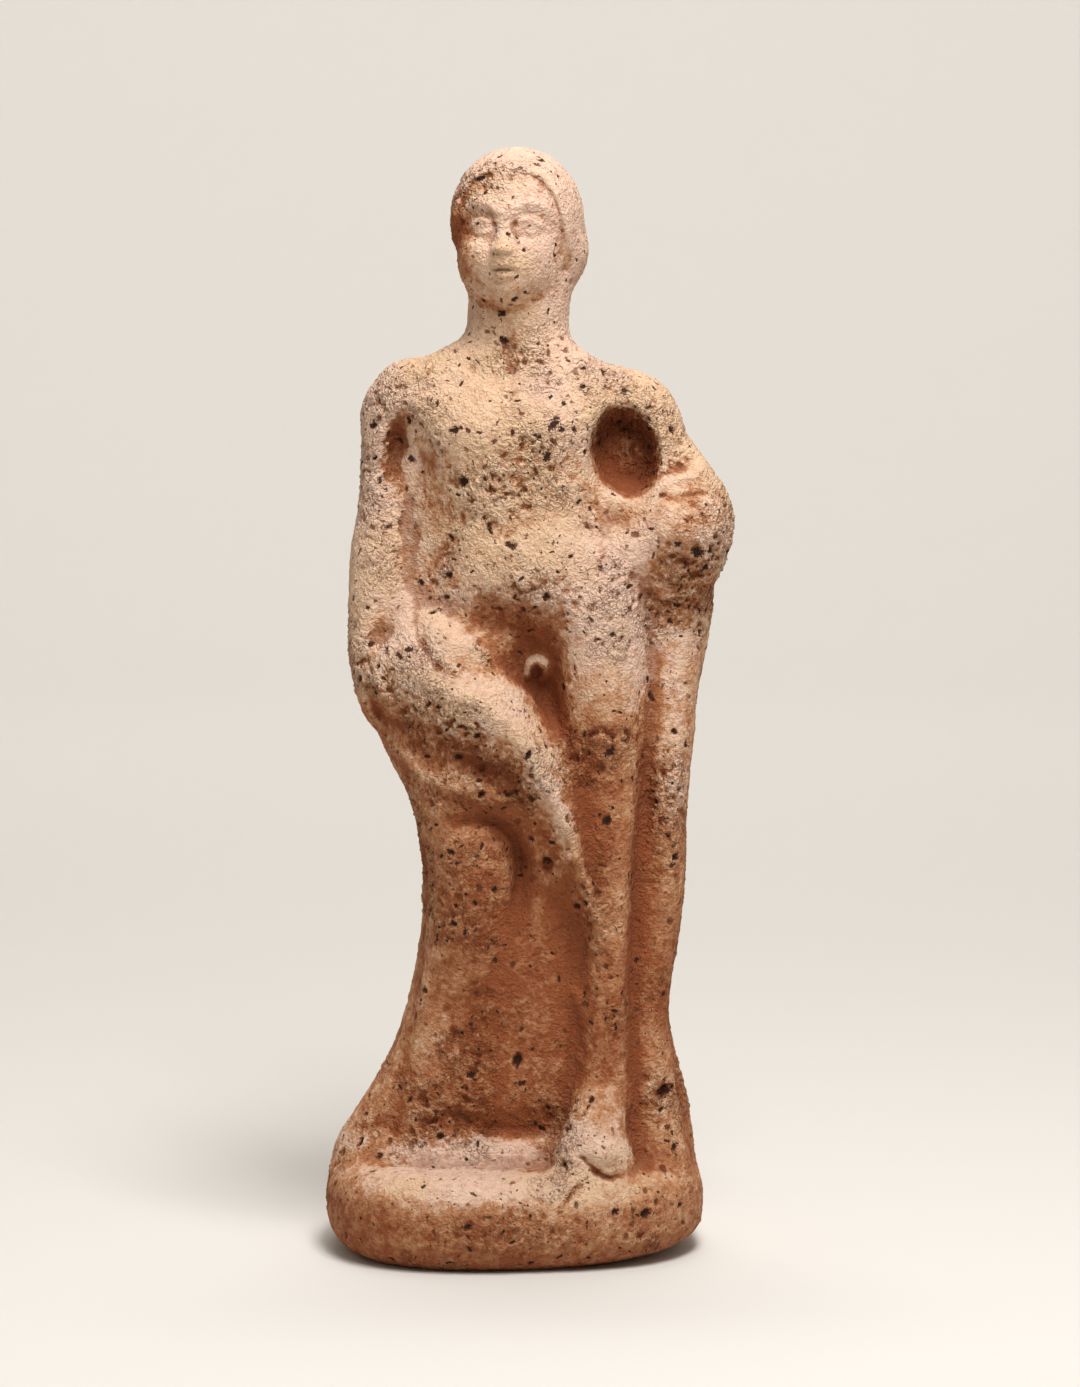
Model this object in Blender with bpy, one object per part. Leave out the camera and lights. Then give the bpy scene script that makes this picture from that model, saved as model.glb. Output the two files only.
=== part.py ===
"""A small Etruscan votive figurine in coarse fired clay, pressed from a mould as one solid with its base.

A standing youth, nude in front, holds a mantle that wraps the bent leg and falls behind the body.
The front faces -Y, +X is the viewer's right, and the origin is the middle of the flat underside.
"""

import math

import bmesh
import bpy
import numpy as np
from mathutils import Matrix, Vector

# Driving dimensions in metres
FIGURE_HEIGHT = 0.157  # top of the base to the crown
BASE_WIDTH = 0.0590
BASE_DEPTH = 0.0480
BASE_HEIGHT = 0.0145
BASE_UPPER_ROUNDING = 0.0050
BASE_LOWER_ROUNDING = 0.0054
BASE_RIGHT_WEAR = 2.0  # how much further the lower edge is worn in on the right side

# The free forms are placed in hundredths of the figure's height, with z counted from the top of the base.
UNIT = FIGURE_HEIGHT / 100
RIM = BASE_WIDTH / 2 / UNIT  # the base's half width in units, which the mantle's foot spreads to

BASE_TURN = 6.0  # degrees that the hand-trimmed base is turned in plan
BASE_SQUARENESS = 2.5  # superellipse exponent of the base's plan, where 2 is an ellipse
RING_SIDES = 56
BODY_SQUARENESS = 2.35
CLOTH_SQUARENESS = 3.6

FUSING_VOXEL = 0.0008
FUSING_PASSES = 16  # smoothing rounds after the masses are fused
CARVED_VOXEL = 0.0007
CARVED_PASSES = FUSING_PASSES // 8  # smoothing rounds after the front is worked
MOST_TRIANGLES = 9400
HEAD_TURN = -10.0  # degrees about Z, to the viewer's left
HEAD_AXIS = (0.3, -0.2)
CLAY = (0.60, 0.40, 0.25, 1.0)


def at(x, y, z):
    """A point of the free forms in metres."""
    return Vector((x * UNIT, y * UNIT, BASE_HEIGHT + z * UNIT))


def clear_scene():
    for obj in list(bpy.data.objects):
        bpy.data.objects.remove(obj, do_unlink=True)


def smooth_path(points, steps=6):
    """A Catmull-Rom curve through the points, as rows like theirs."""
    rows = np.array(points, float)
    ends = np.vstack([2 * rows[0] - rows[1], rows, 2 * rows[-1] - rows[-2]])
    made = []
    for i in range(len(rows) - 1):
        a, b, c, d = ends[i : i + 4]
        for t in np.arange(steps) / steps:
            made.append(
                b
                + 0.5 * t * (c - a)
                + t * t * (a - 2.5 * b + 2 * c - 0.5 * d)
                + t**3 * (1.5 * (b - c) + 0.5 * (d - a))
            )
    return np.array(made + [rows[-1]])


def add_ellipsoid(bm, centre, radii):
    """An ellipsoid by its centre and radii in units."""
    place = Matrix.Translation(at(*centre)) @ Matrix.Diagonal((*[r * UNIT for r in radii], 1))
    bmesh.ops.create_uvsphere(bm, u_segments=32, v_segments=20, radius=1, matrix=place)


def add_limb(bm, points):
    """A round tapering limb through rows of x, y, z and radius, with round ends."""
    rows = smooth_path(points)
    curve = bpy.data.curves.new("limb", "CURVE")
    curve.dimensions = "3D"
    curve.bevel_depth = UNIT
    curve.bevel_resolution = 6
    curve.use_fill_caps = True
    spline = curve.splines.new("POLY")
    spline.points.add(len(rows) - 1)
    for point, (x, y, z, radius) in zip(spline.points, rows):
        point.co = (*at(x, y, z), 1)
        point.radius = radius
    holder = bpy.data.objects.new("limb", curve)
    bm.from_mesh(holder.to_mesh())
    holder.to_mesh_clear()
    bpy.data.objects.remove(holder)
    for x, y, z, radius in (points[0], points[-1]):
        add_ellipsoid(bm, (x, y, z), (radius, radius, radius))


def plan_ring(bm, left, right, front, back, z, squareness):
    """A level superellipse ring in metres from its left, right, front and back reach."""
    middle, half = (left + right) / 2, (right - left) / 2
    ring = []
    for i in range(RING_SIDES):
        turn = 2 * math.pi * i / RING_SIDES
        c, s = math.cos(turn), math.sin(turn)
        x = middle + half * math.copysign(abs(c) ** (2 / squareness), c)
        reach = back if s > 0 else -front
        y = reach * math.copysign(abs(s) ** (2 / squareness), s)
        ring.append(bm.verts.new((x, y, z)))
    return ring


def join_rings(bm, rings):
    """Sides between neighbouring rings, and a cap on each end."""
    for low, high in zip(rings, rings[1:]):
        for i in range(RING_SIDES):
            j = (i + 1) % RING_SIDES
            bm.faces.new((low[i], low[j], high[j], high[i]))
    bm.faces.new(list(reversed(rings[0])))
    bm.faces.new(rings[-1])


def add_loft(bm, sections, squareness):
    """A body through level sections: z, left, right, front, back, in units."""
    rings = []
    for z, left, right, front, back in smooth_path(sections, steps=4):
        height = BASE_HEIGHT + z * UNIT
        rings.append(
            plan_ring(bm, left * UNIT, right * UNIT, front * UNIT, back * UNIT, height, squareness)
        )
    join_rings(bm, rings)


def add_base(bm):
    """The low base: a rounded slab that runs past the underside, where it is cut flat later."""
    half_width, half_depth = BASE_WIDTH / 2, BASE_DEPTH / 2
    quarter = [math.radians(a) for a in range(0, 91, 15)]
    levels = [(-BASE_LOWER_ROUNDING / 2, BASE_LOWER_ROUNDING, BASE_RIGHT_WEAR)]
    for a in quarter:
        inset = BASE_LOWER_ROUNDING * (1 - math.sin(a))
        levels.append((BASE_LOWER_ROUNDING * (1 - math.cos(a)), inset, BASE_RIGHT_WEAR))
    for a in quarter:
        inset = BASE_UPPER_ROUNDING * (1 - math.cos(a))
        levels.append((BASE_HEIGHT - BASE_UPPER_ROUNDING * (1 - math.sin(a)), inset, 1))
    rings = []
    for z, inset, wear in levels:
        left, right, deep = inset - half_width, half_width - wear * inset, half_depth - inset
        rings.append(plan_ring(bm, left, right, -deep, deep, z, BASE_SQUARENESS))
    join_rings(bm, rings)
    turn = Matrix.Rotation(math.radians(BASE_TURN), 3, "Z")
    bmesh.ops.rotate(bm, verts=[v for ring in rings for v in ring], matrix=turn)


# z, left, right, front, back of the mantle's mass behind and round the legs
LOWER_BODY = (
    (-3, -0.98 * RIM, 0.97 * RIM, -9.0, 10.0),
    (1, -0.96 * RIM, 0.96 * RIM, -7.5, 9.6),
    (5, -15.5, 17.4, -6.0, 9.0),
    (10, -12.5, 16.1, -5.6, 8.4),
    (15, -10.8, 15.4, -5.6, 8.2),
    (21, -9.5, 16.3, -5.8, 8.0),
    (27, -9.1, 17.1, -6.0, 8.0),
    (33, -9.8, 17.1, -6.0, 8.2),
    (39, -11.2, 17.4, -6.0, 8.6),
    (45, -12.8, 18.0, -5.8, 8.8),
    (51, -12.0, 19.2, -5.5, 8.8),
    (56, -11.5, 19.8, -4.2, 8.6),
    (62, -11.0, 18.0, -2.5, 8.2),
    (68, -11.0, 15.0, -2.0, 7.8),
    (73, -10.5, 12.0, -1.5, 7.0),
)
# the same for the cloth that hangs flat in front of the bent leg's shin
FRONT_CLOTH = (
    (-2, -14.0, 9.5, -6.8, 0.0),
    (4, -12.6, 9.0, -6.7, 0.0),
    (10, -11.0, 8.6, -6.8, 0.0),
    (17, -9.6, 8.4, -7.1, 0.0),
    (24, -8.6, 8.2, -7.4, 0.0),
    (31, -8.2, 7.6, -7.0, 0.0),
)
# the same for the trunk, up to the neck's root
TRUNK = (
    (46, -9.0, 12.5, -5.2, 8.2),
    (50, -9.2, 13.6, -6.6, 8.2),
    (55, -9.0, 13.2, -8.2, 8.0),
    (60, -8.8, 12.0, -8.7, 7.6),
    (65, -8.8, 10.0, -8.3, 7.4),
    (70, -9.6, 9.4, -8.5, 7.4),
    (74, -12.0, 11.5, -7.8, 7.2),
    (77, -11.2, 10.6, -6.0, 6.4),
    (79, -8.8, 8.0, -4.8, 5.6),
    (81, -5.2, 5.4, -4.2, 5.0),
)
NECK = (
    (0.2, 1.2, 75.0, 5.0),
    (0.4, 0.4, 82.0, 5.1),
    (0.6, -0.2, 87.0, 5.2),
)
RIGHT_ARM = (
    (-10.7, 0.0, 73.3, 4.6),
    (-11.8, -0.6, 66.0, 3.5),
    (-12.8, -1.0, 59.5, 3.5),
    (-13.2, -1.8, 54.0, 3.3),
    (-13.4, -2.8, 49.0, 2.9),
    (-12.6, -3.6, 45.2, 2.7),
)
LEFT_UPPER_ARM = (
    (8.4, 0.4, 74.4, 4.3),
    (12.2, -0.6, 73.2, 4.3),
    (14.4, -1.2, 70.2, 3.1),
    (17.0, -1.6, 66.4, 3.3),
)
LEFT_FOREARM = (
    (17.2, -2.0, 63.0, 4.2),
    (14.2, -3.0, 61.4, 4.2),
    (10.8, -3.4, 59.8, 4.0),
)
LEFT_LEG = (
    (7.4, -3.6, 57.0, 5.0),
    (8.2, -3.9, 50.0, 5.2),
    (8.8, -4.5, 42.0, 4.4),
    (9.1, -5.0, 34.0, 3.6),
    (9.2, -5.4, 27.0, 2.9),
    (9.1, -5.8, 18.0, 2.5),
    (8.9, -6.0, 8.0, 2.7),
)
INSTEP = (
    (8.8, -6.0, 8.0, 2.7),
    (7.6, -9.4, 2.0, 3.2),
)
HANGING_CLOTH = (
    (15.2, -1.4, 55.0, 3.8),
    (14.8, -2.2, 44.0, 3.2),
    (14.0, -3.0, 34.0, 3.1),
    (13.8, -3.0, 25.0, 2.9),
    (12.5, -3.0, 15.0, 2.8),
    (13.0, -3.2, 6.0, 3.4),
    (13.8, -3.6, -2.0, 4.0),
)
MANTLE_ROLL = (
    (-10.2, -4.2, 48.0, 4.2),
    (-6.0, -5.8, 45.8, 4.9),
    (-2.2, -6.4, 43.2, 4.9),
    (1.0, -6.6, 39.4, 4.3),
    (3.4, -6.5, 35.2, 3.5),
    (5.4, -6.2, 30.4, 2.7),
    (7.0, -5.9, 25.4, 1.9),
    (8.0, -5.8, 21.0, 1.3),
)
FOLDS_BELOW_ROLL = (
    (-8.6, -3.8, 42.0, 4.0),
    (-4.4, -5.8, 39.4, 3.8),
    (-0.6, -6.6, 36.6, 3.2),
    (2.2, -6.5, 32.8, 2.6),
    (4.2, -6.2, 28.4, 1.9),
)
BUNDLE_END = (
    (16.2, -2.6, 60.4, 4.9),
    (15.4, -2.4, 57.0, 4.0),
    (15.6, -2.0, 53.8, 2.9),
)
BENT_LEG = (
    (-6.6, -2.8, 49.0, 6.2),
    (-5.4, -4.0, 38.0, 5.4),
    (-4.1, -4.6, 29.0, 4.4),
    (-4.2, -2.4, 18.0, 5.0),
)
HANGING_EDGE = (
    (-12.2, -2.6, 45.6, 2.3),
    (-10.6, -3.4, 41.0, 2.2),
    (-8.4, -4.2, 37.0, 2.0),
)

# Strokes worked into the front are rows of x, z, height out of the surface, and the width to the left and
# to the right of the stroke's own direction. A negative height is a groove.
DRESS_STROKES = (
    # upper edge of the mantle over the hip, as an inverted V
    ((-11.8, 50.2, 0.3, 1.0, 1.0), (-10.7, 55.0, 0.5, 0.8, 1.0), (-7.3, 53.0, 0.6, 0.7, 1.6),
     (-3.7, 50.9, 0.6, 0.7, 1.8), (-0.8, 48.2, 0.3, 0.7, 1.6)),
    # crest of the roll, sharp towards the open side
    ((-9.4, 49.0, 0.1, 1.2, 1.8), (-5.6, 47.4, 0.4, 1.2, 2.2), (-1.8, 45.2, 0.7, 0.9, 2.2),
     (1.2, 41.8, 0.9, 0.7, 2.0), (3.6, 37.4, 1.0, 0.6, 1.8), (5.4, 33.2, 0.9, 0.55, 1.5),
     (6.7, 29.2, 0.8, 0.5, 1.2), (7.8, 25.4, 0.6, 0.5, 1.0), (8.6, 22.0, 0.3, 0.5, 0.8)),
    # shallow folds below the crest
    ((-7.0, 42.0, -0.2, 0.9, 1.0), (-4.2, 40.2, -0.6, 0.9, 1.0), (-1.6, 38.8, -0.6, 0.9, 0.9),
     (0.4, 37.0, -0.2, 0.8, 0.8)),
    ((-7.4, 38.6, 0.2, 0.7, 0.7), (-5.0, 38.0, 0.4, 0.7, 0.7), (-2.6, 37.2, 0.2, 0.7, 0.7)),
    ((-12.3, 42.0, 0.2, 0.8, 0.7), (-10.4, 39.8, 0.5, 0.8, 0.7), (-8.2, 37.6, 0.2, 0.8, 0.7)),
    ((-10.8, 43.2, -0.2, 0.8, 0.8), (-8.6, 40.8, -0.4, 0.8, 0.8), (-7.0, 38.6, -0.2, 0.8, 0.8)),
    # the hollow over the knee and the groove that runs down beside it
    ((-6.4, 33.6, -0.3, 0.9, 0.7), (-3.6, 34.1, -0.9, 1.0, 0.8), (-1.0, 33.2, -1.2, 1.0, 0.8),
     (0.4, 31.2, -1.3, 1.0, 0.8), (0.8, 28.4, -1.3, 0.9, 0.6), (0.6, 25.4, -1.0, 0.8, 0.5),
     (-0.2, 22.4, -0.3, 0.8, 0.6)),
    ((5.7, 18.4, 0.2, 0.6, 0.6), (6.3, 16.4, 0.4, 0.6, 0.6), (6.9, 14.4, 0.2, 0.6, 0.6)),
    # corner between the hanging cloth and its left flank
    ((-8.0, 22.0, 0.1, 0.9, 1.4), (-9.6, 15.6, 0.3, 1.0, 1.6), (-11.4, 10.6, 0.4, 1.2, 1.8),
     (-13.0, 5.2, 0.2, 1.4, 1.8)),
    ((-7.6, 4.0, -0.4, 1.8, 1.2), (-2.0, 3.4, -0.9, 2.2, 1.2), (3.0, 4.0, -0.6, 2.0, 1.2)),
    # cloth behind the standing leg
    ((13.2, 52.0, -0.2, 0.9, 0.8), (12.9, 45.7, -0.5, 1.1, 0.7), (12.5, 37.0, -0.8, 1.1, 0.6),
     (12.0, 32.0, -0.8, 1.1, 0.5), (11.6, 26.0, -0.8, 1.2, 0.45), (11.4, 16.3, -0.8, 1.2, 0.45),
     (11.6, 8.0, -0.5, 1.2, 0.6)),
    ((15.7, 43.0, 0.2, 0.9, 0.9), (15.9, 37.0, 0.6, 0.8, 0.8), (15.8, 31.0, 0.4, 0.8, 0.8),
     (15.2, 25.0, 0.1, 0.9, 0.9)),
    # bundle of the mantle over the forearm
    ((13.4, 65.9, 0.3, 0.7, 0.8), (15.8, 67.0, 0.6, 0.7, 0.9), (19.0, 68.2, 0.3, 0.8, 0.9)),
    ((14.4, 64.6, -0.1, 0.6, 0.6), (17.0, 65.2, -0.3, 0.6, 0.6), (20.0, 65.2, -0.1, 0.6, 0.6)),
)
BODY_STROKES = (
    # right arm against the trunk
    ((-10.8, 73.4, -1.0, 0.9, 0.9), (-11.4, 70.6, -2.0, 1.0, 0.9), (-12.6, 67.6, -1.2, 0.9, 0.8)),
    ((-10.9, 68.0, -0.6, 0.8, 0.9), (-10.3, 61.4, -0.9, 0.9, 1.0), (-10.6, 56.6, -0.5, 0.9, 0.9)),
    ((-8.3, 68.0, 0.2, 0.8, 0.8), (-8.1, 60.0, 0.5, 0.8, 0.8), (-7.8, 54.0, 0.3, 0.8, 0.8)),
    ((-6.2, 66.0, -0.3, 1.3, 1.3), (-6.1, 60.0, -0.4, 1.3, 1.3)),
    # chest
    ((-9.0, 72.0, 0.1, 2.4, 1.4), (-6.2, 71.2, 0.4, 2.6, 1.4), (-3.0, 71.4, 0.4, 2.6, 1.4),
     (-0.6, 73.0, 0.1, 2.2, 1.4)),
    ((0.8, 73.0, 0.1, 2.2, 1.4), (3.4, 71.4, 0.4, 2.6, 1.4), (6.6, 71.6, 0.3, 2.4, 1.4)),
    ((0.1, 75.0, -0.2, 0.9, 0.9), (1.0, 66.0, -0.3, 1.0, 1.0), (2.6, 61.0, -0.2, 1.0, 1.0)),
    # throat and collar bones
    ((-7.0, 78.2, 0.1, 0.7, 0.7), (-2.4, 77.2, 0.2, 0.7, 0.7)),
    ((7.2, 77.8, 0.1, 0.7, 0.7), (2.6, 77.2, 0.2, 0.7, 0.7)),
    ((0.1, 80.0, -0.2, 1.4, 1.4), (0.1, 77.6, -0.4, 1.0, 1.0)),
    # the recess between the thighs
    ((-2.6, 54.2, -0.9, 2.0, 1.6), (0.8, 52.4, -1.6, 2.2, 1.8), (2.4, 49.0, -2.2, 2.0, 2.4),
     (3.1, 45.6, -2.0, 1.4, 1.8), (3.5, 42.4, -0.9, 0.8, 0.9)),
    ((1.4, 48.2, 0.5, 0.45, 0.45), (1.7, 49.5, 0.9, 0.45, 0.45), (2.4, 49.9, 1.0, 0.45, 0.45),
     (3.1, 49.4, 0.9, 0.45, 0.45), (3.2, 48.4, 0.5, 0.45, 0.45)),
    # standing leg's outer edge, and its inner border on the cloth
    ((12.2, 45.7, 0.1, 1.2, 0.6), (11.6, 36.0, 0.3, 1.4, 0.5), (10.9, 29.0, 0.5, 1.5, 0.45),
     (10.4, 22.0, 0.7, 1.5, 0.45), (10.3, 14.0, 0.7, 1.5, 0.45), (10.6, 8.6, 0.4, 1.3, 0.5)),
    ((6.4, 20.0, -0.2, 0.9, 0.9), (6.4, 15.0, -0.3, 1.0, 0.9), (5.4, 8.0, -0.3, 1.0, 0.9)),
    # right hand on the edge of the mantle
    ((-13.9, 48.0, 0.3, 0.6, 0.6), (-13.2, 46.2, 0.5, 0.6, 0.6), (-12.3, 44.4, 0.3, 0.6, 0.6)),
    ((-12.4, 49.0, -0.3, 0.5, 0.5), (-11.8, 47.0, -0.4, 0.5, 0.5), (-11.2, 45.2, -0.2, 0.5, 0.5)),
    # toes
    ((6.4, 2.2, -0.4, 0.4, 0.5), (8.2, 0.8, -0.6, 0.4, 0.5), (10.2, 0.9, -0.5, 0.4, 0.5)),
    ((6.1, 0.2, -0.3, 0.4, 0.4), (4.8, -1.6, -0.5, 0.4, 0.4)),
)

# Broad swellings and dips: x, z, half width, half height, tilt in degrees, height out of the surface
SWELLINGS = (
    (3.6, 58.2, 6.0, 5.4, 0, 0.7),
    (-14.0, 58.4, 2.0, 4.5, 0, 0.3),
    (-13.2, 52.1, 0.9, 1.0, 0, -0.5),
    (-13.3, 44.0, 1.0, 1.0, 0, -0.6),
    (9.0, 46.0, 3.4, 6.0, 4, 0.4),
    (-3.4, 12.0, 6.0, 7.0, -6, -0.8),
    (4.0, 22.0, 2.8, 7.0, 8, -0.4),
    (16.0, 54.2, 3.0, 2.6, -20, -0.4),
    (16.8, 62.6, 3.6, 2.6, 10, 0.3),
)

# Hollows pressed back to a floor: x, z, half width, half height, tilt in degrees, y of the floor
HOLLOWS = (
    (10.9, 69.8, 3.1, 4.2, 14, -0.4),
)

# The face and hair in the head's own directions, with x from its midline and mirrored where so listed.
FACE_STROKES = (
    ((0, 92.8, 0.5, 0.7, 0.7), (0, 90.8, 1.0, 0.8, 0.8), (0, 89.3, 1.5, 1.0, 1.0)),
    ((-1.7, 87.2, 0.2, 0.35, 0.3), (0, 87.7, 0.6, 0.4, 0.3), (1.7, 87.2, 0.2, 0.35, 0.3)),
    ((-1.2, 86.4, 0.2, 0.3, 0.5), (0, 86.3, 0.6, 0.3, 0.5), (1.2, 86.4, 0.2, 0.3, 0.5)),
)
FACE_PAIRS = (
    ((0.9, 93.0, 0.4, 0.6, 0.35), (2.6, 93.6, 0.5, 0.6, 0.35), (4.2, 92.6, 0.2, 0.6, 0.35)),
    # edge of the hair round the face
    ((0, 97.8, 0.5, 1.6, 0.5), (3.2, 97.0, 0.6, 1.6, 0.5), (5.0, 94.6, 0.6, 1.4, 0.5),
     (5.6, 91.8, 0.5, 1.2, 0.5), (5.8, 89.8, 0.2, 1.0, 0.5)),
)
HAIR_STROKES = (
    ((4.7, 96.6, -0.3, 0.5, 0.5), (6.2, 94.2, -0.6, 0.5, 0.5), (6.9, 91.2, -0.4, 0.5, 0.5)),
)
FACE_SWELLINGS = (
    (0, 85.2, 1.6, 1.1, 0, 0.6),
    (0, 88.0, 2.6, 2.0, 0, 0.3),
)
FACE_SWELLING_PAIRS = (
    (2.4, 91.8, 1.7, 1.1, 0, -1.0),
    (2.4, 91.7, 1.1, 0.7, 0, 0.7),
    (3.4, 89.4, 1.6, 1.6, 0, 0.3),
)

# Broad folds of the mantle pressed into the back, as strokes seen from the front
BACK_STROKES = (
    ((9.0, 74.0, 0.3, 1.6, 2.2), (2.0, 66.0, 0.6, 1.8, 2.4), (-6.0, 56.0, 0.5, 1.8, 2.4),
     (-11.0, 47.0, 0.2, 1.6, 2.0)),
    ((14.0, 64.0, 0.2, 1.8, 1.8), (7.0, 52.0, 0.6, 2.0, 2.4), (-1.0, 40.0, 0.6, 2.0, 2.6),
     (-7.0, 28.0, 0.2, 1.8, 2.2)),
    ((15.0, 52.0, 0.2, 1.6, 1.8), (11.0, 36.0, 0.5, 1.8, 2.2), (7.0, 20.0, 0.5, 2.0, 2.2),
     (4.0, 8.0, 0.2, 2.0, 2.2)),
    ((-2.0, 30.0, 0.2, 1.6, 1.8), (-5.0, 18.0, 0.4, 1.8, 2.0), (-8.0, 8.0, 0.2, 1.8, 2.0)),
)


def build_masses(bm):
    """Everything that is laid on as a mass before the surface is worked."""
    add_base(bm)
    add_loft(bm, LOWER_BODY, BODY_SQUARENESS)
    add_loft(bm, FRONT_CLOTH, CLOTH_SQUARENESS)
    add_loft(bm, TRUNK, BODY_SQUARENESS)
    add_limb(bm, NECK)
    # skull, jaw, and the hair that hangs fuller on the viewer's right
    add_ellipsoid(bm, (0.3, 0.2, 92.7), (6.7, 7.3, 7.1))
    add_ellipsoid(bm, (-0.6, -3.0, 88.4), (5.1, 4.6, 4.6))
    add_ellipsoid(bm, (4.6, 0.6, 89.6), (2.9, 4.4, 3.8))
    add_ellipsoid(bm, (-9.8, 0.2, 73.6), (5.0, 5.4, 5.6))
    # clay left between the trunk and each arm
    add_ellipsoid(bm, (11.4, 0.0, 68.0), (5.6, 6.4, 9.0))
    add_limb(bm, ((-9.0, 0.0, 70.0, 3.8), (-10.2, 0.0, 60.0, 4.2), (-10.6, -0.6, 52.0, 4.4)))
    add_limb(bm, RIGHT_ARM)
    add_limb(bm, LEFT_UPPER_ARM)
    add_limb(bm, LEFT_FOREARM)
    add_ellipsoid(bm, (15.8, -1.0, 62.8), (6.1, 5.2, 6.4))
    add_ellipsoid(bm, (15.8, -2.8, 62.4), (5.6, 5.5, 5.2))
    add_limb(bm, BUNDLE_END)
    add_limb(bm, LEFT_LEG)
    add_limb(bm, INSTEP)
    add_limb(bm, HANGING_CLOTH)
    add_ellipsoid(bm, (7.8, -8.6, 1.4), (4.0, 4.8, 3.0))
    add_limb(bm, BENT_LEG)
    add_limb(bm, MANTLE_ROLL)
    add_limb(bm, FOLDS_BELOW_ROLL)
    add_limb(bm, HANGING_EDGE)
    add_ellipsoid(bm, (-3.8, -4.9, 28.4), (4.4, 4.2, 6.4))


def stroke_height(x, z, stroke):
    """Height of one stroke at the points, falling off as a bell on each side of its path."""
    rows = smooth_path(stroke, steps=4)
    best = np.full(x.shape, np.inf)
    height = np.zeros(x.shape)
    for a, b in zip(rows, rows[1:]):
        run, rise = b[0] - a[0], b[1] - a[1]
        t = np.clip(((x - a[0]) * run + (z - a[1]) * rise) / (run * run + rise * rise), 0, 1)
        off_x, off_z = x - a[0] - t * run, z - a[1] - t * rise
        on_left = run * off_z - rise * off_x > 0
        width = np.where(on_left, a[3] + t * (b[3] - a[3]), a[4] + t * (b[4] - a[4]))
        gap = (off_x**2 + off_z**2) / width**2
        nearer = gap < best
        best = np.where(nearer, gap, best)
        height = np.where(nearer, a[2] + t * (b[2] - a[2]), height)
    return height * np.exp(-best)


def spread(x, z, centre_x, centre_z, half_width, half_height, tilt):
    """Squared distance from an ellipse's centre, where 1 is on the ellipse."""
    c, s = math.cos(math.radians(tilt)), math.sin(math.radians(tilt))
    across = (x - centre_x) * c + (z - centre_z) * s
    along = (z - centre_z) * c - (x - centre_x) * s
    return (across / half_width) ** 2 + (along / half_height) ** 2


def mirrored(stroke):
    """The stroke on the other side of the midline, with its widths swapped."""
    return tuple((-x, z, height, right, left) for x, z, height, left, right in stroke)


def smooth_step(value, low, high):
    t = np.clip((value - low) / (high - low), 0, 1)
    return t * t * (3 - 2 * t)


def work_front(mesh):
    """Press the hollows and lay the strokes into the front of the skin."""
    count = len(mesh.vertices)
    place, normal = np.empty((count, 3)), np.empty((count, 3))
    mesh.vertices.foreach_get("co", place.ravel())
    mesh.vertices.foreach_get("normal", normal.ravel())
    lean = normal[:, 1]
    facing, facing_back = smooth_step(-lean, 0.0, 0.45), smooth_step(lean, 0.2, 0.7)
    x, y, z = place[:, 0] / UNIT, place[:, 1] / UNIT, (place[:, 2] - BASE_HEIGHT) / UNIT

    back = np.zeros(count)
    for *oval, floor in HOLLOWS:
        weight = np.exp(-spread(x, z, *oval) ** 4) * smooth_step(-y, -floor - 1, -floor)
        back = np.maximum(back, weight * np.maximum(floor - y, 0))
    out = np.zeros(count)
    for *oval, height in SWELLINGS:
        out += height * np.exp(-spread(x, z, *oval))
    for stroke in DRESS_STROKES + BODY_STROKES:
        out += stroke_height(x, z, stroke)
    y = y + back - out * facing
    for stroke in BACK_STROKES:
        y += stroke_height(x, z, stroke) * facing_back

    # the head's own directions
    c, s = math.cos(math.radians(HEAD_TURN)), math.sin(math.radians(HEAD_TURN))
    across = (x - HEAD_AXIS[0]) * c + (y - HEAD_AXIS[1]) * s
    ahead = (x - HEAD_AXIS[0]) * s - (y - HEAD_AXIS[1]) * c
    on_face = smooth_step(z, 82.5, 84.5) * smooth_step(ahead, 0.5, 3.0)
    out = np.zeros(count)
    for stroke in FACE_STROKES + HAIR_STROKES:
        out += stroke_height(across, z, stroke)
    for stroke in FACE_PAIRS:
        out += stroke_height(across, z, stroke) * (across > 0)
        out += stroke_height(across, z, mirrored(stroke)) * (across <= 0)
    for *oval, height in FACE_SWELLINGS:
        out += height * np.exp(-spread(across, z, *oval))
    for *oval, height in FACE_SWELLING_PAIRS:
        out += height * np.exp(-spread(np.abs(across), z, *oval))
    x = x + s * out * on_face
    y = y - c * out * on_face

    place[:, 0], place[:, 1] = x * UNIT, y * UNIT
    mesh.vertices.foreach_set("co", place.ravel())
    mesh.update()


def refined(source, name, add_modifiers):
    """A new mesh from the source with the modifiers applied."""
    holder = bpy.data.objects.new(name, source)
    bpy.context.scene.collection.objects.link(holder)
    add_modifiers(holder)
    graph = bpy.context.evaluated_depsgraph_get()
    made = bpy.data.meshes.new_from_object(holder.evaluated_get(graph))
    bpy.data.objects.remove(holder)
    return made


def fuse(holder, voxel, passes):
    """One smooth skin round all the closed shapes of the object."""
    remesh = holder.modifiers.new("Remesh", "REMESH")
    remesh.mode = "VOXEL"
    remesh.voxel_size = voxel
    smooth = holder.modifiers.new("Smooth", "SMOOTH")
    smooth.factor = 0.5
    smooth.iterations = passes


def thin_out(holder):
    """Fewer triangles, kept where the surface bends most."""
    triangles = sum(len(face.vertices) - 2 for face in holder.data.polygons)
    decimate = holder.modifiers.new("Decimate", "DECIMATE")
    decimate.ratio = MOST_TRIANGLES / triangles


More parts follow.
